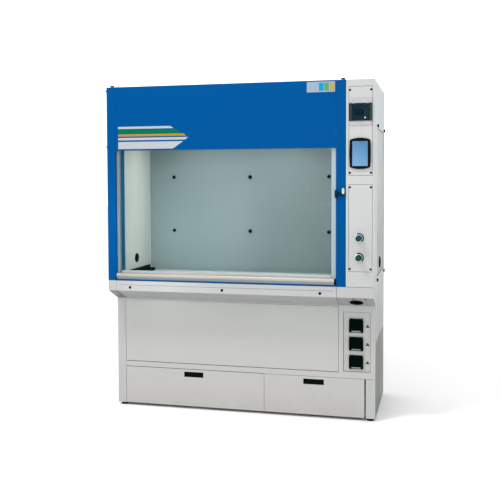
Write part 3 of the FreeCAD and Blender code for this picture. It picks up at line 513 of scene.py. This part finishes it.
def turned(bm, origin, axis, stations, count, flutes=0, depth=0.0, loop=False):
    """Revolve (distance, radius, fluted) stations about an axis; 'loop' makes a ring of them."""
    origin, axis = Vector(origin), Vector(axis).normalized()
    side = axis.orthogonal().normalized()
    other = axis.cross(side)
    rings = []
    for station in stations:
        along, radius = station[0], station[1]
        fluted = len(station) > 2 and station[2]
        if radius <= 0:
            rings.append([bm.verts.new(origin + axis * along)])
            continue
        ring = []
        for step in range(count):
            angle = 2 * math.pi * step / count
            reach = radius
            if fluted:
                reach -= depth * (0.5 + 0.5 * math.cos(flutes * angle)) ** 2
            ring.append(bm.verts.new(
                origin + axis * along + side * (reach * math.cos(angle))
                + other * (reach * math.sin(angle))))
        rings.append(ring)
    following = rings[1:] + (rings[:1] if loop else [])
    for first, second in zip(rings, following):
        for step in range(count):
            after = (step + 1) % count
            corners = []
            for vert in (first[step % len(first)], first[after % len(first)],
                         second[after % len(second)], second[step % len(second)]):
                if vert not in corners:
                    corners.append(vert)
            if len(corners) > 2:
                bm.faces.new(corners)
    for ring in (rings[0], rings[-1]):
        if len(ring) > 1 and not loop:
            bm.faces.new(ring)


def slab(bm, low, high):
    """A box between two corners."""
    made = bmesh.ops.create_cube(bm, size=1.0)["verts"]
    low, high = Vector(low), Vector(high)
    size = high - low
    matrix = Matrix.Translation((low + high) / 2) @ Matrix.Diagonal((*size, 1.0))
    bmesh.ops.transform(bm, matrix=matrix, verts=made)


def border(low_a, low_b, high_a, high_b, wide):
    """Opposite corners of the four bars just inside a rectangle."""
    return (((low_a, low_b), (low_a + wide, high_b)), ((high_a - wide, low_b), (high_a, high_b)),
            ((low_a, low_b), (high_a, low_b + wide)), ((low_a, high_b - wide), (high_a, high_b)))


def plate(bm, outline, place, depth):
    """Push a flat outline of (x, z) points back from y = place by depth."""
    front = [bm.verts.new((x, place, z)) for x, z in outline]
    back = [bm.verts.new((x, place + depth, z)) for x, z in outline]
    bm.faces.new(front)
    bm.faces.new(list(reversed(back)))
    count = len(outline)
    for step in range(count):
        after = (step + 1) % count
        bm.faces.new((front[after], front[step], back[step], back[after]))


def rounded_outline(low_x, low_z, high_x, high_z, radius, steps=6):
    """A rectangle of (x, z) points with quarter-round corners."""
    points = []
    for corner, (cx, cz) in enumerate(((high_x - radius, high_z - radius),
                                       (low_x + radius, high_z - radius),
                                       (low_x + radius, low_z + radius),
                                       (high_x - radius, low_z + radius))):
        for step in range(steps + 1):
            angle = math.radians(90 * corner + 90.0 * step / steps)
            points.append((cx + radius * math.cos(angle), cz + radius * math.sin(angle)))
    return points


def middle(box):
    return (box[0] + box[1]) / 2


# ---- sheet-metal skin

SHEET_EDGE = 0.6 * MM

for name in ("left_side_panel", "right_side_panel", "right_access_cover", "fascia_left_end",
             "front_fascia", "column_fascia", "left_base_side", "right_base_side",
             "base_face_frame", "base_front_panel", "socket_panel", "left_drawer",
             "right_drawer", "front_frame", "top_panel", "column_front",
             "column_upper_panel", "column_lower_panel", "chamber_side_walls",
             "chamber_ceiling", "top_deck", "fan_housing"):
    soften(name, SHEET_EDGE)
soften("rear_baffle", SHEET_EDGE, material=SHADED_REAR_LINER)
soften("circuit_breakers", 0.8 * MM, material=BREAKER_CASE)
for name, width in (("worktop", 2 * MM), ("cup_sink", 1.4 * MM), ("sash_tracks", 0.8 * MM),
                    ("sash_handle", 2.5 * MM), ("sash_end_fittings", 1 * MM),
                    ("sash_stop", 1.2 * MM), ("sash_stop_tab", 1.6 * MM),
                    ("screen_bezel", 2 * MM), ("socket_bodies", 1 * MM),
                    ("port_grommets", 1.4 * MM), ("counterweights", 2 * MM),
                    ("cross_shaft", 0.8 * MM), ("idler_pulleys", 0.8 * MM),
                    ("drawer_runners", 0.8 * MM), ("lamp_panel", 1.2 * MM),
                    ("fan_motor", 1.5 * MM), ("fan_impeller", 0.5 * MM),
                    ("sash_glass", 0.5 * MM), ("screen_glass", 0.4 * MM),
                    ("drive_belts", 0.6 * MM)):
    soften(name, width, 3)


# ---- fasteners

def pan_head(bm, base, axis, radius, rise):
    """A domed screw head with a round recess."""
    turned(bm, base, axis, [
        (0.0, radius), (0.35 * rise, radius), (0.7 * rise, 0.88 * radius),
        (0.93 * rise, 0.68 * radius), (rise, 0.5 * radius), (0.97 * rise, 0.42 * radius),
        (0.35 * rise, 0.40 * radius), (0.30 * rise, 0.0)], count=36)


def group_of_heads(node, name, draw):
    """Replace every solid of a fastener node by a detailed one at the same place."""
    bm = bmesh.new()
    for low, high in islands(node):
        draw(bm, low, high)
    slot = SLOT_OF[node]
    thing = piece(name, bm, slot, body_of(node))
    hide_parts(node)


FASCIA_BROADER, COLUMN_BROADER = 1.45, 1.12


def front_screw(bm, low, high):
    """Column screws, and the broader caps along the fascia below the sill."""
    base = middle((low, high))
    base.y = high.y
    below_sill = high.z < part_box("front_fascia")[1].z
    broad = FASCIA_BROADER if below_sill else COLUMN_BROADER
    pan_head(bm, base, FRONTWARD, broad * (high.x - low.x) / 2, high.y - low.y)


def star_knob(bm, low, high):
    """Six-lobed thumb knob that holds the baffle."""
    base = middle((low, high))
    base.y = high.y
    radius = (high.x - low.x) / 2
    deep = high.y - low.y
    turned(bm, base, FRONTWARD, [
        (0.0, 0.52 * radius), (0.30 * deep, 0.55 * radius), (0.34 * deep, 0.90 * radius, True),
        (0.42 * deep, radius, True), (0.86 * deep, radius, True),
        (0.95 * deep, 0.92 * radius, True), (0.99 * deep, 0.6 * radius), (deep, 0.0)],
        count=72, flutes=6, depth=0.09 * radius)


def side_knob(bm, low, high):
    """Fluted turn-knob on the right side, plain screw on the left."""
    centre = middle((low, high))
    right = centre.x > 0
    base = Vector((low.x if right else high.x, centre.y, centre.z))
    axis = (1, 0, 0) if right else (-1, 0, 0)
    radius = (high.z - low.z) / 2
    deep = high.x - low.x
    if not right:
        pan_head(bm, base, axis, radius, deep)
        return
    turned(bm, base, axis, [
        (0.0, 0.8 * radius), (0.18 * deep, 0.82 * radius), (0.25 * deep, radius, True),
        (0.85 * deep, 0.96 * radius, True), (0.97 * deep, 0.8 * radius, True),
        (deep, 0.55 * radius), (0.9 * deep, 0.0)], count=64, flutes=16, depth=0.07 * radius)


def foot(bm, low, high):
    """Levelling foot: broad pad, waist and stud."""
    base = middle((low, high))
    base.z = low.z
    radius = (high.x - low.x) / 2
    tall = high.z - low.z
    turned(bm, base, (0, 0, 1), [
        (0.0, 0.90 * radius), (0.06 * tall, radius), (0.20 * tall, radius),
        (0.36 * tall, 0.88 * radius), (0.44 * tall, 0.7 * radius), (0.46 * tall, 0.62 * radius),
        (0.76 * tall, 0.60 * radius), (0.80 * tall, 0.55 * radius), (0.81 * tall, 0.26 * radius),
        (tall, 0.26 * radius)], count=48)


group_of_heads("panel_screws", "panel_screw_heads", front_screw)
group_of_heads("baffle_knobs", "baffle_star_knobs", star_knob)
group_of_heads("side_fixings", "side_turn_knobs", side_knob)
group_of_heads("levelling_feet", "levelling_foot_pads", foot)


# ---- service valves

RING_COLOURS = {"upper_valve_knob": printed("ring_navy", (0.0, 0.022, 0.060), 0.7),
                "lower_valve_knob": printed("ring_green", (0.0, 0.012, 0.011), 0.7)}
RIM_COLOURS = {"upper_valve_knob": printed("rim_blue", (0.0, 0.080, 0.150), 0.5),
               "lower_valve_knob": printed("rim_green", (0.0, 0.045, 0.028), 0.5)}
KNOB_CAP = moulded("knob_cap_green", (0.0, 0.050, 0.030), 0.35, specular=0.1)


ARC_START, ARC_SWEEP = -52, 168
ARC_INNER, ARC_OUTER = 0.84, 1.14


def colour_arc(bm, base, inner, outer):
    """Raised colour-code band round the upper right of a collar."""
    steps = 28
    rings = []
    for step in range(steps + 1):
        angle = math.radians(ARC_START + ARC_SWEEP * step / steps)
        across, up = math.cos(angle), math.sin(angle)
        rings.append([bm.verts.new(base + Vector((radius * across, -out, radius * up)))
                      for radius, out in ((inner, -0.0005), (inner, 0.0032), (outer, 0.0022),
                                          (outer, -0.0005))])
    for here, there in zip(rings, rings[1:]):
        for side in range(4):
            bm.faces.new((here[side], here[(side + 1) % 4], there[(side + 1) % 4], there[side]))
    bm.faces.new(rings[0])
    bm.faces.new(rings[-1][::-1])


def service_valve(node, collar_box):
    """Fluted knob with a green cap and a coloured rim, and a colour-code arc by its collar."""
    low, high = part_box(node)
    centre = middle((low, high))
    radius = (high.x - low.x) / 2
    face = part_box("column_lower_panel")[0].y
    base = Vector((centre.x, face, centre.z))
    reach = face - low.y
    bm = bmesh.new()
    turned(bm, base, FRONTWARD, [
        (-0.4 * reach, 0.24 * radius), (0.20 * reach, 0.24 * radius),
        (0.24 * reach, 0.80 * radius), (0.27 * reach, radius, True),
        (0.55 * reach, 0.95 * radius, True), (0.86 * reach, 0.88 * radius, True),
        (0.93 * reach, 0.80 * radius, True), (0.95 * reach, 0.66 * radius),
        (0.94 * reach, 0.0)], count=96, flutes=8, depth=0.13 * radius)
    knob = piece(node + "_grip", bm, "knob_green", body_of(node))
    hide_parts(node)
    bm = bmesh.new()
    turned(bm, base, FRONTWARD, [
        (0.90 * reach, 0.56 * radius), (0.955 * reach, 0.56 * radius),
        (0.985 * reach, 0.48 * radius), (reach, 0.28 * radius), (reach, 0.0)], count=48)
    piece(node + "_cap", bm, "knob_green", body_of(node), material=KNOB_CAP)
    bm = bmesh.new()
    turned(bm, base, FRONTWARD, [
        (0.88 * reach, 0.76 * radius), (0.957 * reach, 0.76 * radius),
        (0.958 * reach, 0.84 * radius), (0.93 * reach, 0.92 * radius),
        (0.86 * reach, 0.93 * radius)], count=64, loop=True)
    piece(node + "_rim", bm, "knob_green", body_of(node), material=RIM_COLOURS[node])
    collar = (collar_box[1].x - collar_box[0].x) / 2
    bm = bmesh.new()
    colour_arc(bm, base, ARC_INNER * collar, ARC_OUTER * collar)
    piece(node + "_ring", bm, "knob_green", material=RING_COLOURS[node])


def valve_collar(bm, low, high):
    """Turned collar with a raised boss, through the column panel."""
    centre = middle((low, high))
    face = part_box("column_lower_panel")[0].y
    radius = (high.x - low.x) / 2
    turned(bm, (centre.x, face, centre.z), FRONTWARD, [
        (-0.030, 0.42 * radius), (0.0, 0.42 * radius), (0.0001, radius), (0.0018, radius),
        (0.0024, 0.97 * radius), (0.0028, 0.74 * radius), (0.0085, 0.70 * radius),
        (0.0088, 0.34 * radius), (0.0070, 0.0)], count=72)


collars = islands("valve_collars")
for node in ("upper_valve_knob", "lower_valve_knob"):
    height = middle(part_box(node)).z
    service_valve(node, min(collars, key=lambda box: abs(middle(box).z - height)))
group_of_heads("valve_collars", "valve_collar_rings", valve_collar)


# ---- breaker flap

def breaker_flap():
    """Smoked flap: raised rim, hinge knuckles, two ribs, pale lugs and a round latch."""
    low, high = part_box("breaker_cover")
    edge = high.z - 0.0006
    bm = bmesh.new()
    plate(bm, rounded_outline(low.x, low.z, high.x, edge, 0.002), low.y + 0.0012, 0.0022)
    flap = piece("breaker_flap_pane", bm, "smoked_flap", "breaker_flap", bevel=0.4 * MM)
    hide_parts("breaker_cover")
    trim = moulded("flap_trim", (0.003, 0.016, 0.020), 0.35, specular=0.05)
    bm = bmesh.new()
    wide = 0.0035
    for a, b in border(low.x, low.z, high.x, edge, wide):
        slab(bm, (a[0], low.y + 0.0004, a[1]), (b[0], high.y - 0.0002, b[1]))
    for x in (low.x + 0.018, high.x - 0.021):
        slab(bm, (x, low.y + 0.0005, low.z + wide), (x + 0.0025, low.y + 0.0012, edge - wide))
    axis = high.z - 0.0024
    for x in (low.x + 0.012, high.x - 0.032):
        turned(bm, (x, low.y + 0.0026, axis), (1, 0, 0), [(0, 0.0024), (0.020, 0.0024)],
               count=20)
        slab(bm, (x, low.y + 0.001, edge - 0.002), (x + 0.020, low.y + 0.004, axis))
    piece("breaker_flap_trim", bm, "smoked_flap", "breaker_flap", material=trim, bevel=0.3 * MM)
    bm = bmesh.new()
    for x in (low.x + 0.024, high.x - 0.030):
        slab(bm, (x, low.y + 0.0001, edge - 0.004), (x + 0.007, low.y + 0.002, edge))
    piece("breaker_flap_lugs", bm, "smoked_flap", "breaker_flap", material=FINISH["pale_plastic"],
          bevel=0.3 * MM)
    bm = bmesh.new()
    turned(bm, (high.x - 0.042, low.y + 0.0015, low.z + 0.019), FRONTWARD,
           [(0, 0.0052), (0.0010, 0.0052), (0.0014, 0.0046), (0.0014, 0.0022), (0.0010, 0.0)],
           count=36)
    piece("breaker_flap_latch", bm, "white_plastic", "breaker_flap")


def breaker_details():
    """Dark toggles and labels on the modules, behind a blue-grey plate with a window."""
    low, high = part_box("breaker_cover")
    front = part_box("circuit_breakers")[0].y
    bm = bmesh.new()
    edge = 0.004
    left, right = low.x + 0.033, low.x + 0.092
    bottom, top = low.z + 0.034, low.z + 0.076
    for a, b in (((low.x + edge, low.z + edge), (left, high.z - edge)),
                 ((right, low.z + edge), (high.x - edge, high.z - edge)),
                 ((left, low.z + edge), (right, bottom)), ((left, top), (right, high.z - edge))):
        slab(bm, (a[0], front - 0.0035, a[1]), (b[0], front - 0.0020, b[1]))
    cover = powder_coat("breaker_cover_coat", (0.028, 0.072, 0.084), 0.5, specular=0.1,
                        drift=((0.050, 0.125, 0.158), "X", low.x + 0.04, high.x - 0.03))
    piece("breaker_cover_plate", bm, "pale_plastic", material=cover)
    bm = bmesh.new()
    for low, high in islands("circuit_breakers"):
        centre = middle((low, high))
        slab(bm, (centre.x - 0.0042, low.y - 0.0006, centre.z - 0.0075),
             (centre.x + 0.0042, low.y + 0.006, centre.z + 0.0075))
        slab(bm, (low.x + 0.003, low.y + 0.0094, high.z - 0.014),
             (high.x - 0.003, low.y + 0.0102, high.z - 0.006))
    piece("breaker_toggles", bm, "black_plastic", bevel=0.5 * MM)


breaker_flap()
breaker_details()


# ---- sockets

TRIANGLE = printed("hazard_amber", (0.062, 0.040, 0.020))
TRIANGLE_EDGE = printed("hazard_border", (0.02, 0.015, 0.014))


def socket_lid(number):
    """Splash lid with a raised ring, a centre boss and two ribs, over a fixed sill."""
    node = "socket_lid_%d" % number
    soften(node, 1.6 * MM, 3)
    low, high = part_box(node)
    centre = middle((low, high))
    front = Vector((centre.x, low.y + 0.0006, centre.z - 0.002))
    bm = bmesh.new()
    turned(bm, front, FRONTWARD,
           [(0.0, 0.027), (0.0006, 0.0268), (0.0006, 0.0245), (0.0, 0.0243)], count=56)
    for side in (-1, 1):
        x = centre.x + side * 0.036
        slab(bm, (x - 0.0012, low.y, low.z + 0.018), (x + 0.0012, low.y + 0.0008, high.z - 0.022))
    turned(bm, front + Vector((0, 0, -0.0005)), FRONTWARD,
           [(0.0, 0.0035), (0.0006, 0.003), (0.0006, 0.0)], count=24)
    piece(node + "_ribs", bm, "lid_black", body_of(node))
    bm = bmesh.new()
    sill = high.y + 0.0004
    slab(bm, (centre.x - 0.031, sill - 0.004, low.z + 0.0002),
         (centre.x + 0.031, sill, low.z + 0.0028))
    piece(node + "_sill", bm, "lid_black", bevel=0.3 * MM)


def triangle(bm, centre_x, centre_z, size, place, depth):
    half = size / 2
    rise = size * math.sqrt(3) / 2
    plate(bm, [(centre_x - half, centre_z - rise / 2), (centre_x + half, centre_z - rise / 2),
               (centre_x, centre_z + rise / 2)], place, depth)


def hazard_marks():
    """Plain amber triangles with a dark border beside each socket."""
    panel_low, panel_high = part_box("socket_panel")
    inset = panel_low.y + 0.004
    size = 0.026
    border, fill = bmesh.new(), bmesh.new()
    for low, high in islands("socket_bodies"):
        x = (high.x + panel_high.x) / 2 + 0.0015
        z = middle((low, high)).z - 0.002
        triangle(border, x, z, size, inset - 0.0003, 0.0003)
        triangle(fill, x, z - 0.0008, size * 0.66, inset - 0.0005, 0.0003)
    piece("hazard_borders", border, "black_plastic", material=TRIANGLE_EDGE)
    piece("hazard_fills", fill, "pale_plastic", material=TRIANGLE)


for number in (1, 2, 3):
    socket_lid(number)
hazard_marks()


# ---- drawer pulls

def drawer_pull(side):
    """Recessed cup pull with a swept back inside it."""
    node = side + "_drawer_pull"
    soften(node, 1.2 * MM, 3)
    low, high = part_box(node)
    wall = 0.0022
    deep = high.y - low.y - 2 * wall
    tall = high.z - low.z - 2 * wall
    swept = 0.62
    steps = 10
    bm = bmesh.new()
    section = [(low.y + 0.0005, low.z + wall), (high.y - wall, low.z + wall)]
    for step in range(steps + 1):
        angle = math.radians(90.0 * step / steps)
        section.append((high.y - wall - deep * swept * (1 - math.cos(angle)),
                        low.z + wall + tall * swept * (1 - math.sin(angle))))
    ends = []
    for x in (low.x + wall, high.x - wall):
        ends.append([bm.verts.new((x, y, z)) for y, z in section])
    bm.faces.new(ends[0])
    bm.faces.new(list(reversed(ends[1])))
    for step in range(len(section)):
        after = (step + 1) % len(section)
        bm.faces.new((ends[0][step], ends[0][after], ends[1][after], ends[1][step]))
    piece(node + "_scoop", bm, "black_plastic", body_of(node), material=PULL_GREY)


PULL_GREY = moulded("pull_scoop", (0.0015, 0.0038, 0.0038), 0.5, specular=0.03)
for side in ("left", "right"):
    drawer_pull(side)


# ---- stripes, plate, linings

def stripes():
    """Plain livery stripes on the blue panel, each a thin film with a slanted end."""
    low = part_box("top_panel")[0]
    start = low.x + 0.020
    film = 0.0003
    pale = (0.290, 0.306, 0.320)
    bars = ((0.160, 0.0150, 0.396, -1.6, "stripe_white_1", pale),
            (0.139, 0.0250, 0.448, -1.2, "stripe_green", (0.0, 0.098, 0.045)),
            (0.109, 0.0145, 0.482, -1.2, "stripe_amber", (0.300, 0.158, 0.003)),
            (0.085, 0.0160, 0.497, 1.2, "stripe_white_2", pale),
            (0.058, 0.0480, 0.462, 1.5, "stripe_white_3", pale))
    for top, tall, length, slant, name, colour in bars:
        upper = low.z + top
        end = start + length
        bm = bmesh.new()
        plate(bm, [(start, upper - tall), (end - max(slant, 0.0) * tall, upper - tall),
                   (end + min(slant, 0.0) * tall, upper), (start, upper)], low.y - film, film)
        piece(name, bm, "white_plastic", material=printed(name, colour))


def rating_plate():
    """Pale plate at the panel's top right corner with three plain colour fields."""
    low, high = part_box("top_panel")
    right, top = high.x - 0.006, high.z - 0.008
    wide, tall = 0.180, 0.066
    film = 0.0004
    bm = bmesh.new()
    plate(bm, rounded_outline(right - wide, top - tall, right, top, 0.003), low.y - film, film)
    piece("plate_ground", bm, "white_plastic",
          material=printed("plate_pale", (0.195, 0.255, 0.320)))
    fields = ((0.078, 0.030, "plate_blue", (0.010, 0.185, 0.350)),
              (0.112, 0.028, "plate_green", (0.060, 0.215, 0.085)),
              (0.144, 0.032, "plate_yellow", (0.290, 0.225, 0.060)))
    for shift, field, name, colour in fields:
        bm = bmesh.new()
        left = right - wide + shift
        plate(bm, rounded_outline(left, top - tall + 0.008, left + field, top - 0.008, 0.002),
              low.y - 2 * film, film)
        piece(name, bm, "white_plastic", material=printed(name, colour))


def post_linings():
    """Blue and pale strips on the chamber's left wall behind the sash."""
    low, high = islands("chamber_side_walls")[0]
    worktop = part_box("worktop")[1].z
    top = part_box("chamber_ceiling")[0].z
    face = high.x
    for name, first, second, material, slot in (
            ("post_lining_blue", 0.020, 0.111, LINING_BLUE, "frame_blue"),
            ("post_lining_pale", 0.111, 0.123, FINISH["white_plastic"], "track_alloy")):
        bm = bmesh.new()
        slab(bm, (face, low.y + first, worktop + 0.002),
             (face + 0.0015, low.y + second, top - 0.002))
        piece(name, bm, slot, material=material, bevel=0.4 * MM)


stripes()
rating_plate()
post_linings()


# ---- painted shade: dark strips in gaps and joint lines

GAP_SHADE_WIDE = 1.9 * MM


def frame_lines(bm, low, high, near, far):
    """Four slabs round the outside of an X-Z rectangle."""
    wide = GAP_SHADE_WIDE
    for a, b in (((low.x - wide, low.z - wide), (low.x, high.z + wide)),
                 ((high.x, low.z - wide), (high.x + wide, high.z + wide)),
                 ((low.x, low.z - wide), (high.x, low.z)),
                 ((low.x, high.z), (high.x, high.z + wide))):
        slab(bm, (a[0], near, a[1]), (b[0], far, b[1]))


# A dark strip that stands in for the shade in a gap.
def shade_strip(name, bm):
    piece(name, bm, "black_rubber", material=GAP_SHADE)


def gap_shade_strips():
    """Dark strips as painted shade in the column panels' gaps, round the socket recess and the
    side cover.
    """
    bm = bmesh.new()
    for node in ("column_upper_panel", "column_lower_panel"):
        low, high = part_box(node)
        frame_lines(bm, low, high, low.y + 0.0009, high.y - 0.0001)
    shade_strip("column_gap_shade", bm)
    bm = bmesh.new()
    low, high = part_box("socket_panel")
    rim = Vector((0.0082, 0.0, 0.0082))
    frame_lines(bm, low + rim, high - rim, low.y + 0.0032, low.y + 0.0040)
    shade_strip("socket_recess_shade", bm)
    bm = bmesh.new()
    low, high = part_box("right_access_cover")
    face = high.x
    wide = 0.004
    low, high = low + Vector((0, 0.015, 0.035)), high - Vector((0, 0.015, 0.030))
    for a, b in border(low.y, low.z, high.y, high.z, wide):
        slab(bm, (face, a[0], a[1]), (face + 0.0008, b[0], b[1]))
    shade_strip("side_cover_gap_shade", bm)


def base_shade_strips():
    """Dark strips as painted shade along the front panel's foot, over the left drawer and between
    the drawers.
    """
    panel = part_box("base_front_panel")
    left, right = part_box("left_drawer"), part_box("right_drawer")
    bm = bmesh.new()
    for box, level in ((panel, panel[0].z - 0.0034), (left, left[1].z + 0.0002)):
        slab(bm, (box[0].x, box[0].y - 0.0002, level),
             (box[1].x, box[0].y + 0.0010, level + 0.0032))
    slab(bm, (left[1].x + 0.0002, left[0].y + 0.0003, left[0].z + 0.001),
         (right[0].x - 0.0002, left[0].y + 0.0080, left[1].z - 0.001))
    shade_strip("base_joint_shade", bm)


def port_bead():
    """Rounded rubber bead round the port in the right access cover."""
    low, high = max(islands("port_grommets"), key=lambda box: box[1].x)
    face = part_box("right_access_cover")[1].x
    radius = (high.z - low.z) / 2
    centre = middle((low, high))
    bm = bmesh.new()
    turned(bm, (face, centre.y, centre.z), (1, 0, 0), [
        (-0.0010, radius), (0.0040, radius), (0.0066, 0.95 * radius), (0.0075, 0.87 * radius),
        (0.0066, 0.80 * radius), (-0.0010, 0.79 * radius)], count=64, loop=True)
    piece("side_port_bead", bm, "black_rubber")


def fascia_lines():
    """A dark strip as painted shadow under the worktop lip, and two screws at the column end of
    the slope.
    """
    low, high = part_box("front_fascia")
    bm = bmesh.new()
    # Painted shadow: a thin dark strip just under the lip.
    front = low.y + 0.0015
    slab(bm, (low.x + 0.020, front - 0.0004, high.z - 0.0285),
         (high.x - 0.022, front, high.z - 0.0270))
    shade_strip("lip_shadow_strip", bm)
    low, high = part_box("column_fascia")
    fold = high.z - FASCIA_UPRIGHT
    run, drop = 0.150, 0.072
    normal = Vector((0.0, -drop, -run)).normalized()
    spot = Vector((low.x, low.y, fold)) + 0.12 * Vector((0.0, run, -drop))
    bm = bmesh.new()
    for shift in (0.106, 0.182):
        pan_head(bm, spot + Vector((shift, 0.0, 0.0)), normal, 0.0055, 0.003)
    piece("slope_screws", bm, "black_screw")


def lug_covers():
    """Rubber buffers over the two lugs that stand on the deck's front edge."""
    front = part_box("top_panel")[0].y
    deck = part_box("rear_panel")[1].z
    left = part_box("left_side_panel")[0].x
    bm = bmesh.new()
    half = 0.0125
    for shift in (0.040, 1.604):
        x = left + shift
        slab(bm, (x - half, front + 0.0025, deck + 0.0004),
             (x + half, front + 0.0115, deck + 0.0116))
    piece("lug_covers", bm, "black_rubber", bevel=2.5 * MM, segments=4)


def worktop_upstand():
    """Low rear upstand on the worktop, just ahead of the baffle's foot."""
    low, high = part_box("worktop")
    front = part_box("rear_baffle")[0].y
    bm = bmesh.new()
    slab(bm, (low.x + 0.012, front - 0.014, high.z - 0.006),
         (high.x - 0.012, front - 0.007, high.z + 0.008))
    piece("worktop_upstand", bm, "worktop_stone", material=SHADED_REAR_LINER, bevel=1.5 * MM, segments=3)


gap_shade_strips()
base_shade_strips()
port_bead()
fascia_lines()
lug_covers()
worktop_upstand()


# ---- back and top

def rows(first, last, count):
    return [first + (last - first) * step / (count - 1) for step in range(count)]


BACK_RELIEF = 0.8 * MM


def back_skin():
    """Rear panel drawn slightly thinner, so that its screws and strips stand proud of it."""
    bm = cad_bmesh("rear_panel")
    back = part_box("rear_panel")[1].y
    for vert in bm.verts:
        if vert.co.y > back - 0.1 * MM:
            vert.co.y -= BACK_RELIEF
    thing = piece("rear_panel_finished", bm, SLOT_OF["rear_panel"],
                  material=FINISH["casing_white"], bevel=0.3 * MM)
    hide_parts("rear_panel")


def back_details():
    """Screws round the back panel, and joint cover strips across it."""
    low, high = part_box("rear_panel")
    edge = 0.022
    face = high.y - BACK_RELIEF
    levels = [low.z + (high.z - low.z) * share for share in (0.34, 0.67)]
    bm = bmesh.new()
    for z in levels:
        slab(bm, (low.x + 0.045, face - 0.2 * MM, z - 0.022),
             (high.x - 0.045, face + 0.4 * MM, z + 0.022))
    piece("back_strips", bm, "casing_white", material=FINISH["galvanised"], bevel=0.2 * MM)
    bm = bmesh.new()
    spots = [(x, z) for x in (low.x + edge, high.x - edge)
             for z in rows(low.z + edge, high.z - edge, 8)]
    spots += [(x, z) for x in rows(low.x + edge, high.x - edge, 7)[1:-1]
              for z in (low.z + edge, high.z - edge)]
    spots += [(x, z) for x in rows(low.x + 0.07, high.x - 0.07, 6) for z in levels]
    for x, z in spots:
        pan_head(bm, (x, face, z), (0, 1, 0), 0.007, BACK_RELIEF - 0.1 * MM)
    piece("back_screws", bm, "black_screw")


def deck_details():
    """Rolled bead round the duct collar and screws along the deck's edges."""
    low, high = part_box("top_deck")
    centre = middle(islands("fan_motor")[0])
    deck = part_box("rear_panel")[1].z
    reach = 0.125
    bm = bmesh.new()
    for level in (0.010, 0.024):
        base = Vector((centre.x, centre.y, deck + level))
        ring = [(-0.0015, reach - 0.0005), (0.0, reach + 0.0012), (0.0015, reach - 0.0005),
                (0.0015, reach - 0.0015), (-0.0015, reach - 0.0015)]
        turned(bm, base, (0, 0, 1), ring, count=72, loop=True)
    piece("collar_beads", bm, "galvanised")
    bm = bmesh.new()
    for x in rows(low.x + 0.03, high.x - 0.03, 7):
        for y in (high.y - 0.02, high.y - 0.40):
            if (Vector((x, y)) - centre.xy).length > reach + 0.02:
                pan_head(bm, (x, y, deck), (0, 0, 1), 0.0055, 0.003)
    piece("deck_screws", bm, "black_screw")


back_skin()
back_details()
deck_details()

for name, thing in frame["nodes"].items():
    thing.data.materials.clear()
    thing.data.materials.append(OWN_FINISH.get(name, FINISH[SLOT_OF[name]]))


# ---- stage and camera

def floor():
    bm = bmesh.new()
    bmesh.ops.create_grid(bm, x_segments=1, y_segments=1, size=40.0)
    look = Look("floor_pale", 0.8)
    look.paint(look.mix(look.noise(0.6), (0.70, 0.70, 0.70), (0.74, 0.74, 0.74)))
    thing, _ = stand("studio_floor", bm, look.material)


def world():
    """White surround, dimmer low on the right, so the side panels shade softly."""
    surround = bpy.data.worlds.new("studio")
    bpy.context.scene.world = surround
    surround.use_nodes = True
    graph = Graph(surround.node_tree, "Generated")
    across = graph.along("X", 0.25, 0.85, 1.5, 0.55)
    above = graph.along("Z", 0.05, 0.65, 0.0, 1.5)
    ahead = graph.along("Y", -0.50, -0.15, 1.5, 0.0)
    strength = graph.maths("MAXIMUM", graph.maths("MAXIMUM", across, above), ahead)
    background = graph.nodes["Background"]
    graph.links.new(strength, background.inputs["Strength"])
    background.inputs["Color"].default_value = (1.0, 1.0, 1.0, 1.0)


def area_light(name, place, target, size, power, spread=180):
    data = bpy.data.lights.new(name, "AREA")
    data.spread = math.radians(spread)
    data.shape = "RECTANGLE"
    data.size, data.size_y = size
    data.energy = power
    thing = bpy.data.objects.new(name, data)
    thing.location = place
    thing.rotation_euler = (Vector(target) - Vector(place)).to_track_quat("-Z", "Y").to_euler()
    bpy.context.scene.collection.objects.link(thing)


CAMERA_PLACE = Vector((1.315, -5.3164, 1.5792))
CAMERA_YAW = math.radians(13.776)
CAMERA_PITCH = math.radians(-2.598)
CAMERA_ROLL = math.radians(-0.187)
FOCAL_SHARE = 1.5554
CENTRE_SHIFT = (-0.0034, -0.0686)


def camera():
    data = bpy.data.cameras.new("camera")
    data.sensor_width = 36.0
    data.lens = data.sensor_width * FOCAL_SHARE
    data.shift_x, data.shift_y = CENTRE_SHIFT
    forward = Vector((-math.sin(CAMERA_YAW) * math.cos(CAMERA_PITCH),
                      math.cos(CAMERA_YAW) * math.cos(CAMERA_PITCH), math.sin(CAMERA_PITCH)))
    level = Vector((math.cos(CAMERA_YAW), math.sin(CAMERA_YAW), 0.0))
    above = level.cross(forward)
    right = level * math.cos(CAMERA_ROLL) + above * math.sin(CAMERA_ROLL)
    up = above * math.cos(CAMERA_ROLL) - level * math.sin(CAMERA_ROLL)
    thing = bpy.data.objects.new("camera", data)
    thing.matrix_world = Matrix.Translation(CAMERA_PLACE) @ Matrix(
        (right, up, -forward)).transposed().to_4x4()
    bpy.context.scene.collection.objects.link(thing)
    bpy.context.scene.camera = thing


floor()
world()
area_light("key", (-1.3, -2.4, 5.5), (0.0, 0.0, 1.2), (0.8, 0.8), 165)
area_light("chamber_fill", (0.3, -2.5, 1.7), (-0.55, 0.2, 1.05), (1.4, 0.8), 15.5)
area_light("corner_fill", (-0.35, -2.8, 1.40), (-0.60, 0.33, 1.18), (0.3, 0.3), 1.15, 26)
LAMP_LOW, LAMP_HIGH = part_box("lamp_panel")
LAMP = middle((LAMP_LOW, LAMP_HIGH))
area_light("chamber_lamp", (LAMP.x, LAMP.y, LAMP_LOW.z - 0.01), (LAMP.x, LAMP.y + 0.001, 0.0),
           (LAMP_HIGH.x - LAMP_LOW.x, LAMP_HIGH.y - LAMP_LOW.y), 4.6)
camera()
bpy.context.scene.view_settings.view_transform = "Standard"
